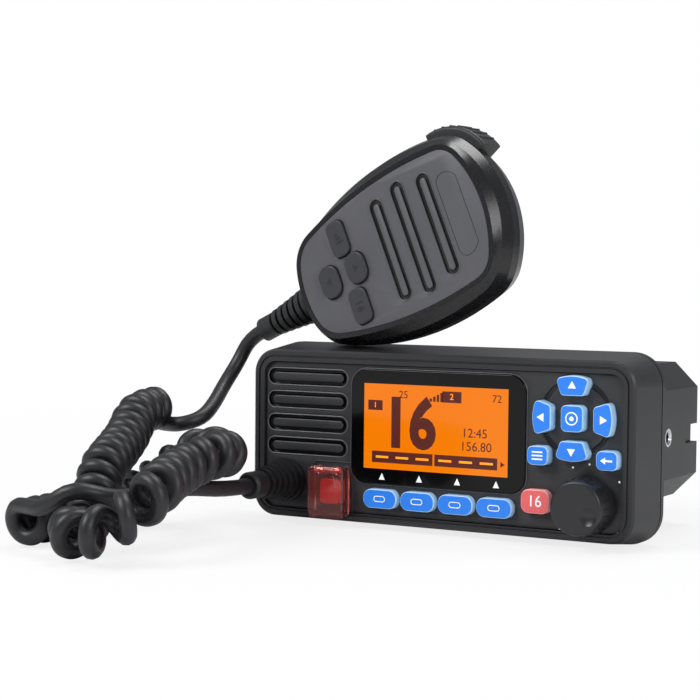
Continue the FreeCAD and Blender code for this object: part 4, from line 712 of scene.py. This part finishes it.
def outline(wide, high, corner, thick, x=0.0, y=0.0):
    """A round bar bent to a rounded rectangle."""
    bpy.ops.object.select_all(action="DESELECT")
    bpy.ops.mesh.primitive_circle_add(vertices=40, radius=corner * MM,
                                      rotation=(0, 0, math.pi / 40))
    bpy.ops.object.transform_apply(location=False, rotation=True, scale=False)
    ring = bpy.context.object
    for vertex in ring.data.vertices:
        vertex.co.x += math.copysign((wide / 2 - corner) * MM, vertex.co.x)
        vertex.co.y += math.copysign((high / 2 - corner) * MM, vertex.co.y)
    bpy.ops.object.convert(target="CURVE")
    ring = bpy.context.object
    ring.data.dimensions = "3D"
    ring.data.bevel_depth = thick * MM / 2
    ring.data.bevel_resolution = 2
    bpy.ops.object.convert(target="MESH")
    ring = bpy.context.object
    bpy.ops.object.shade_smooth()
    ring.data.transform(Matrix.Translation((x * MM, y * MM, 0)))
    return ring


print("shapes: number and outline are ready")

# %% [markdown]
# A plain slot is printed on each soft key. Each mark rides on its key, so it goes in
# when the key is pressed.

# %% Marks on the soft keys
SOFT_KEYS = (-22.1, -6.1, 9.9, 25.9)
for i, x in enumerate(SOFT_KEYS, 1):
    finish_piece(outline(4.6, 2.0, 0.95, 0.34), f"soft_mark_{i}", at_front(x, 12.3, -23.62),
                 f"soft_key_{i}", white_ink_painted_glow)
print("soft keys marked:", len(SOFT_KEYS))

# %% [markdown]
# The pad has an arrow on each of its four sides and a dot in a ring in its middle. Next
# to it are the menu key with three bars, and the back key with an arrow on a stem. The
# channel key below carries a number.

# %% Marks on the pad and the channel key
PAD_X, PAD_Z = 56.8, 46.9
ARROW_REACH = 11.8
PAD_PRINT = -24.81   # a hair in front of the pad's keys
ARROWS = (("up", 0, 1, 0), ("right", 1, 0, -90), ("down", 0, -1, 180), ("left", -1, 0, 90))


def pad_mark(piece, name, x, z, key):
    finish_piece(piece, name, at_front(x, z, PAD_PRINT), key, white_ink_painted_glow)


for name, right, up, turned in ARROWS:
    pad_mark(flat(3, 3.6, 3.6, turned=turned), f"{name}_arrow",
             PAD_X + ARROW_REACH * right, PAD_Z + ARROW_REACH * up, f"{name}_key")
dot = joined([outline(4.4, 4.4, 2.19, 0.5), flat(24, 1.7, 1.7)])
pad_mark(dot, "enter_dot", PAD_X, PAD_Z, "enter_key")
bars = joined([bar(4.2, 0.55, y=k * 1.3) for k in (-1, 0, 1)])
pad_mark(bars, "menu_bars", 43.6, 32.9, "menu_key")
back_sign = joined([flat(3, 2.6, 2.8, x=-1.1, turned=90), bar(2.6, 0.7, x=0.9)])
pad_mark(back_sign, "back_arrow", 70.4, 32.5, "back_key")
finish_piece(number("16", 6.0, narrow=0.95), "channel_number", at_front(42.3, 15.9, -23.61),
             "channel_key", white_ink_painted_glow)
print("keys marked here:", len(ARROWS) + 4)

# %% [markdown]
# The screen shows the channel in tall segments, with smaller numbers, a level bar and
# two dark strips over the soft keys. Places on it are counted from its lower left.

# %% Signs on the screen
GLASS = -21.7
SMALL_NUMBERS = (("25", 4.0, 17.0, 28.6), ("12:45", 4.8, 47.0, 15.4),
                 ("156.80", 4.8, 47.6, 10.4), ("72", 4.0, 56.0, 28.6))
PATCHES = ((6.2, 3.8, 4.9, 24.3), (8.0, 4.2, 37.4, 28.6),
           (26.0, 4.4, 16.6, 4.6), (26.0, 4.4, 43.4, 4.6))


def on_screen(x=0.0, z=0.0):
    """Stands a drawing up on the screen."""
    return at_front(-30.1 + x, 23.7 + z, GLASS)


tall = number("16", 25.8, narrow=0.88, bold=0.95)
finish_piece(tall, "channel_digits", on_screen(19.5, 17.0), "radio", dark_ink)
small = [number(words, size, x=x, y=y) for words, size, x, y in SMALL_NUMBERS]
small += [bar(wide, high, x=x, y=y) for wide, high, x, y in PATCHES]
small += [flat(3, 2.4, 2.4, x=58.3, y=4.6, turned=-90)]
small += [bar(1.0, 1.2 + 0.75 * k, x=28.6 + 1.5 * k, y=27.2 + 0.375 * k) for k in range(4)]
print("screen signs drawn:", len(small))
finish_piece(joined(small), "screen_signs", on_screen(), "radio", dark_ink)

# %% [markdown]
# Where the screen's orange shows through a dark patch, an orange shape lies on it. Ink
# on the glass points at each soft key, and a moulded line runs round the window, in a
# lighter grey that paints its highlight.

# %% Orange gaps, pointers and the window's line
GAP = 0.08           # a little thicker than the patches, so the gaps show
PANEL_LINE = -20.85  # a bar here stands half out of the panel
STRIP_GAPS = (8.0, 16.6, 25.2, 34.8, 43.4, 52.0)
orange = [number("1", 3.0, x=4.9, y=24.3, thick=GAP), number("2", 3.2, x=37.4, y=28.6, thick=GAP)]
orange += [bar(5.4, 0.8, x=x, y=4.6, thick=GAP) for x in STRIP_GAPS]
finish_piece(joined(orange), "screen_gaps", on_screen(), "radio", amber_ink)
pointers = joined([flat(3, 2.9, 3.4, x=x) for x in SOFT_KEYS])
finish_piece(pointers, "key_pointers", at_front(0, 20.4, GLASS), "radio", white_ink_painted_glow)
window_line = outline(73.9, 44.4, 6.7, 0.5)
finish_piece(window_line, "window_edge", at_front(0.8, 39.65, PANEL_LINE), "radio",
             painted_highlight_grey)
print("pointers:", len(SOFT_KEYS))

# %% [markdown]
# The edge of each slot of the loudspeaker catches the light, as a rounded edge does. A
# round bar sunk to half its thickness in the face gives that soft lip, and its lighter
# grey is a painted highlight. White dots stand round the knob, except at its left, and a
# bar frames the safety cover.

# %% Lips of the slots, dots round the knob, frame round the cover
SPEAKER_X, SLOT_HEIGHTS = -56.0, (57.4, 48.35, 39.3, 30.25)
DOT_RING = 14.6
dot_angles = [math.radians(a) for a in range(-40, 221, 26) if not 130 < a < 215]
lips = joined([outline(36.2, 6.6, 3.25, 0.55, x=SPEAKER_X, y=z) for z in SLOT_HEIGHTS])
finish_piece(lips, "speaker_lips", at_front(0, 0, -20.8), "radio", painted_highlight_grey)
dots = joined([flat(12, 0.8, 0.8, x=DOT_RING * math.cos(a), y=DOT_RING * math.sin(a))
               for a in dot_angles])
finish_piece(dots, "knob_dots", at_front(62.4, 15.9, -20.82), "radio", white_ink_painted_glow)
cover_bar = outline(17.0, 21.6, 1.6, 0.5)
finish_piece(cover_bar, "cover_frame", at_front(-43.9, 14.2, PANEL_LINE), "radio",
             front_plastic)
print("slots:", len(SLOT_HEIGHTS), "dots:", len(dot_angles))

# %% [markdown]
# On the microphone the slots have the same soft lips with the same painted highlight,
# and a thin line frames a bare plate at the wide end. The line's outer side bulges, as
# the end of the shell does.

# %% Lips and plate of the microphone
MIC_SLOTS = ((-6.3, 20.6), (5.1, 22.6), (17.2, 20.4))   # place, and half the length
BULGE, HALF_PLATE = 0.0042, 0.0166
mic_lips = joined([outline(6.6, 2 * half + 0.4, 3.25, 0.5, x=x) for x, half in MIC_SLOTS])
finish_piece(mic_lips, "microphone_lips", on_mic(0, 0, 0.0), "microphone", painted_highlight_grey)
plate = outline(7.6, 33.0, 3.7, 0.28)
for vertex in plate.data.vertices:
    if vertex.co.x > 0:
        vertex.co.x += BULGE * (1 - (vertex.co.y / HALF_PLATE) ** 2)
finish_piece(plate, "plate_line", on_mic(26.2, 0, 0.02), "microphone", mic_ink)
print("microphone slots:", len(MIC_SLOTS))

# %% [markdown]
# The grey keys have sunk marks: two triangles, three steps and a number. They're read
# with the wide end up, so the number is turned by a quarter.

# %% Marks on the microphone's keys
def mic_mark(piece, key, x, z):
    finish_piece(piece, f"mic_{key}_mark", on_mic(x, z, -1.31), f"mic_{key}_key", mic_ink)


mic_mark(flat(3, 3.4, 3.6, turned=-90), "up", -23.6, 0.2)
mic_mark(flat(3, 3.4, 3.6, turned=90), "down", -37.3, 0.0)
mic_mark(joined([bar(1.4 + k, 0.9, x=0.5 * k, y=1.5 * (1 - k)) for k in range(3)]),
         "level", -27.4, 13.9)
channel_sign = number("16", 5.0, bold=0.12)
channel_sign.data.transform(Matrix.Rotation(-math.pi / 2, 4, "Z"))
mic_mark(channel_sign, "channel", -27.3, -14.2)

# %% [markdown]
# The studio has a pale floor that keeps the radio's shadow. Seen by the camera, the
# floor fades to pure white further out, so it has no edge.

# %% Floor
bpy.ops.object.select_all(action="DESELECT")
bpy.ops.mesh.primitive_plane_add(size=6.0)
floor = bpy.context.object
floor.name = "floor"
ground = Finish("pale_floor", Roughness=0.7)
grain = ground.noise(6.0)
ground.feed("Base Color", ground.between(grain, (0.80, 0.80, 0.80, 1), (0.84, 0.84, 0.84, 1)))
white = ground.node("Emission", {}, {"Color": (1, 1, 1, 1), "Strength": 1.0})
seen = ground.node("LightPath", output="Is Camera Ray")
away = ground.node("VectorMath", {"operation": "LENGTH"}, {0: ground.where()}, output="Value")
fade = ground.node("MapRange", {}, {
    "Value": away, "From Min": 0.12, "From Max": 0.7, "To Min": 0.8, "To Max": 1.0})
painted = Value(ground, ground.shader.outputs[0])
surface = ground.node("MixShader", {}, {0: seen * fade, 1: painted, 2: white})
ground.give(ground.tree.nodes["Material Output"].inputs["Surface"], surface)
floor.data.materials.append(ground.material)
print("floor:", len(ground.tree.nodes), "nodes")

# %% [markdown]
# The world lights the radio softly from all sides with a weak, cool white. The camera,
# also through the clear cover, sees it as pure white instead.

# %% White surround
world = bpy.data.worlds.new("white_surround")
world.use_nodes = True
bpy.context.scene.world = world
sky = Tree(world.node_tree)
backdrop = sky.tree.nodes["Background"]
sky.give(backdrop.inputs["Color"], (0.95, 0.97, 1.0, 1))
sky.give(backdrop.inputs["Strength"], 0.36)
bright = sky.node("Background", {}, {"Color": (1, 1, 1, 1)})
seen = sky.node("LightPath", output="Is Camera Ray")
seen_through = sky.node("LightPath", output="Is Transmission Ray")
looked_at = sky.node("Math", {"operation": "MAXIMUM"}, {0: seen, 1: seen_through})
around = sky.node("MixShader", {}, {
    0: looked_at, 1: Value(sky, backdrop.outputs[0]), 2: bright})
sky.give(sky.tree.nodes["World Output"].inputs["Surface"], around)
print("world:", world.name)

# %% [markdown]
# Three large soft lamps light the radio, the strongest from the upper left. They all
# point at its middle.

# %% Lamps
LAMPS_AIM = Vector((-0.02, -0.03, 0.06))


def lamp(name, place, size, power):
    bpy.ops.object.light_add(type="AREA", location=place)
    light = bpy.context.object
    light.name = name
    light.data.size = size
    light.data.energy = power
    light.rotation_euler = (LAMPS_AIM - Vector(place)).to_track_quat("-Z", "Y").to_euler()
    print(name, "at", place)


lamp("main_lamp", (-0.9, -1.1, 1.3), 0.8, 21)
lamp("side_lamp", (1.5, -0.7, 0.8), 0.7, 10)
lamp("top_lamp", (0.1, 0.5, 1.6), 0.8, 13)

# %% [markdown]
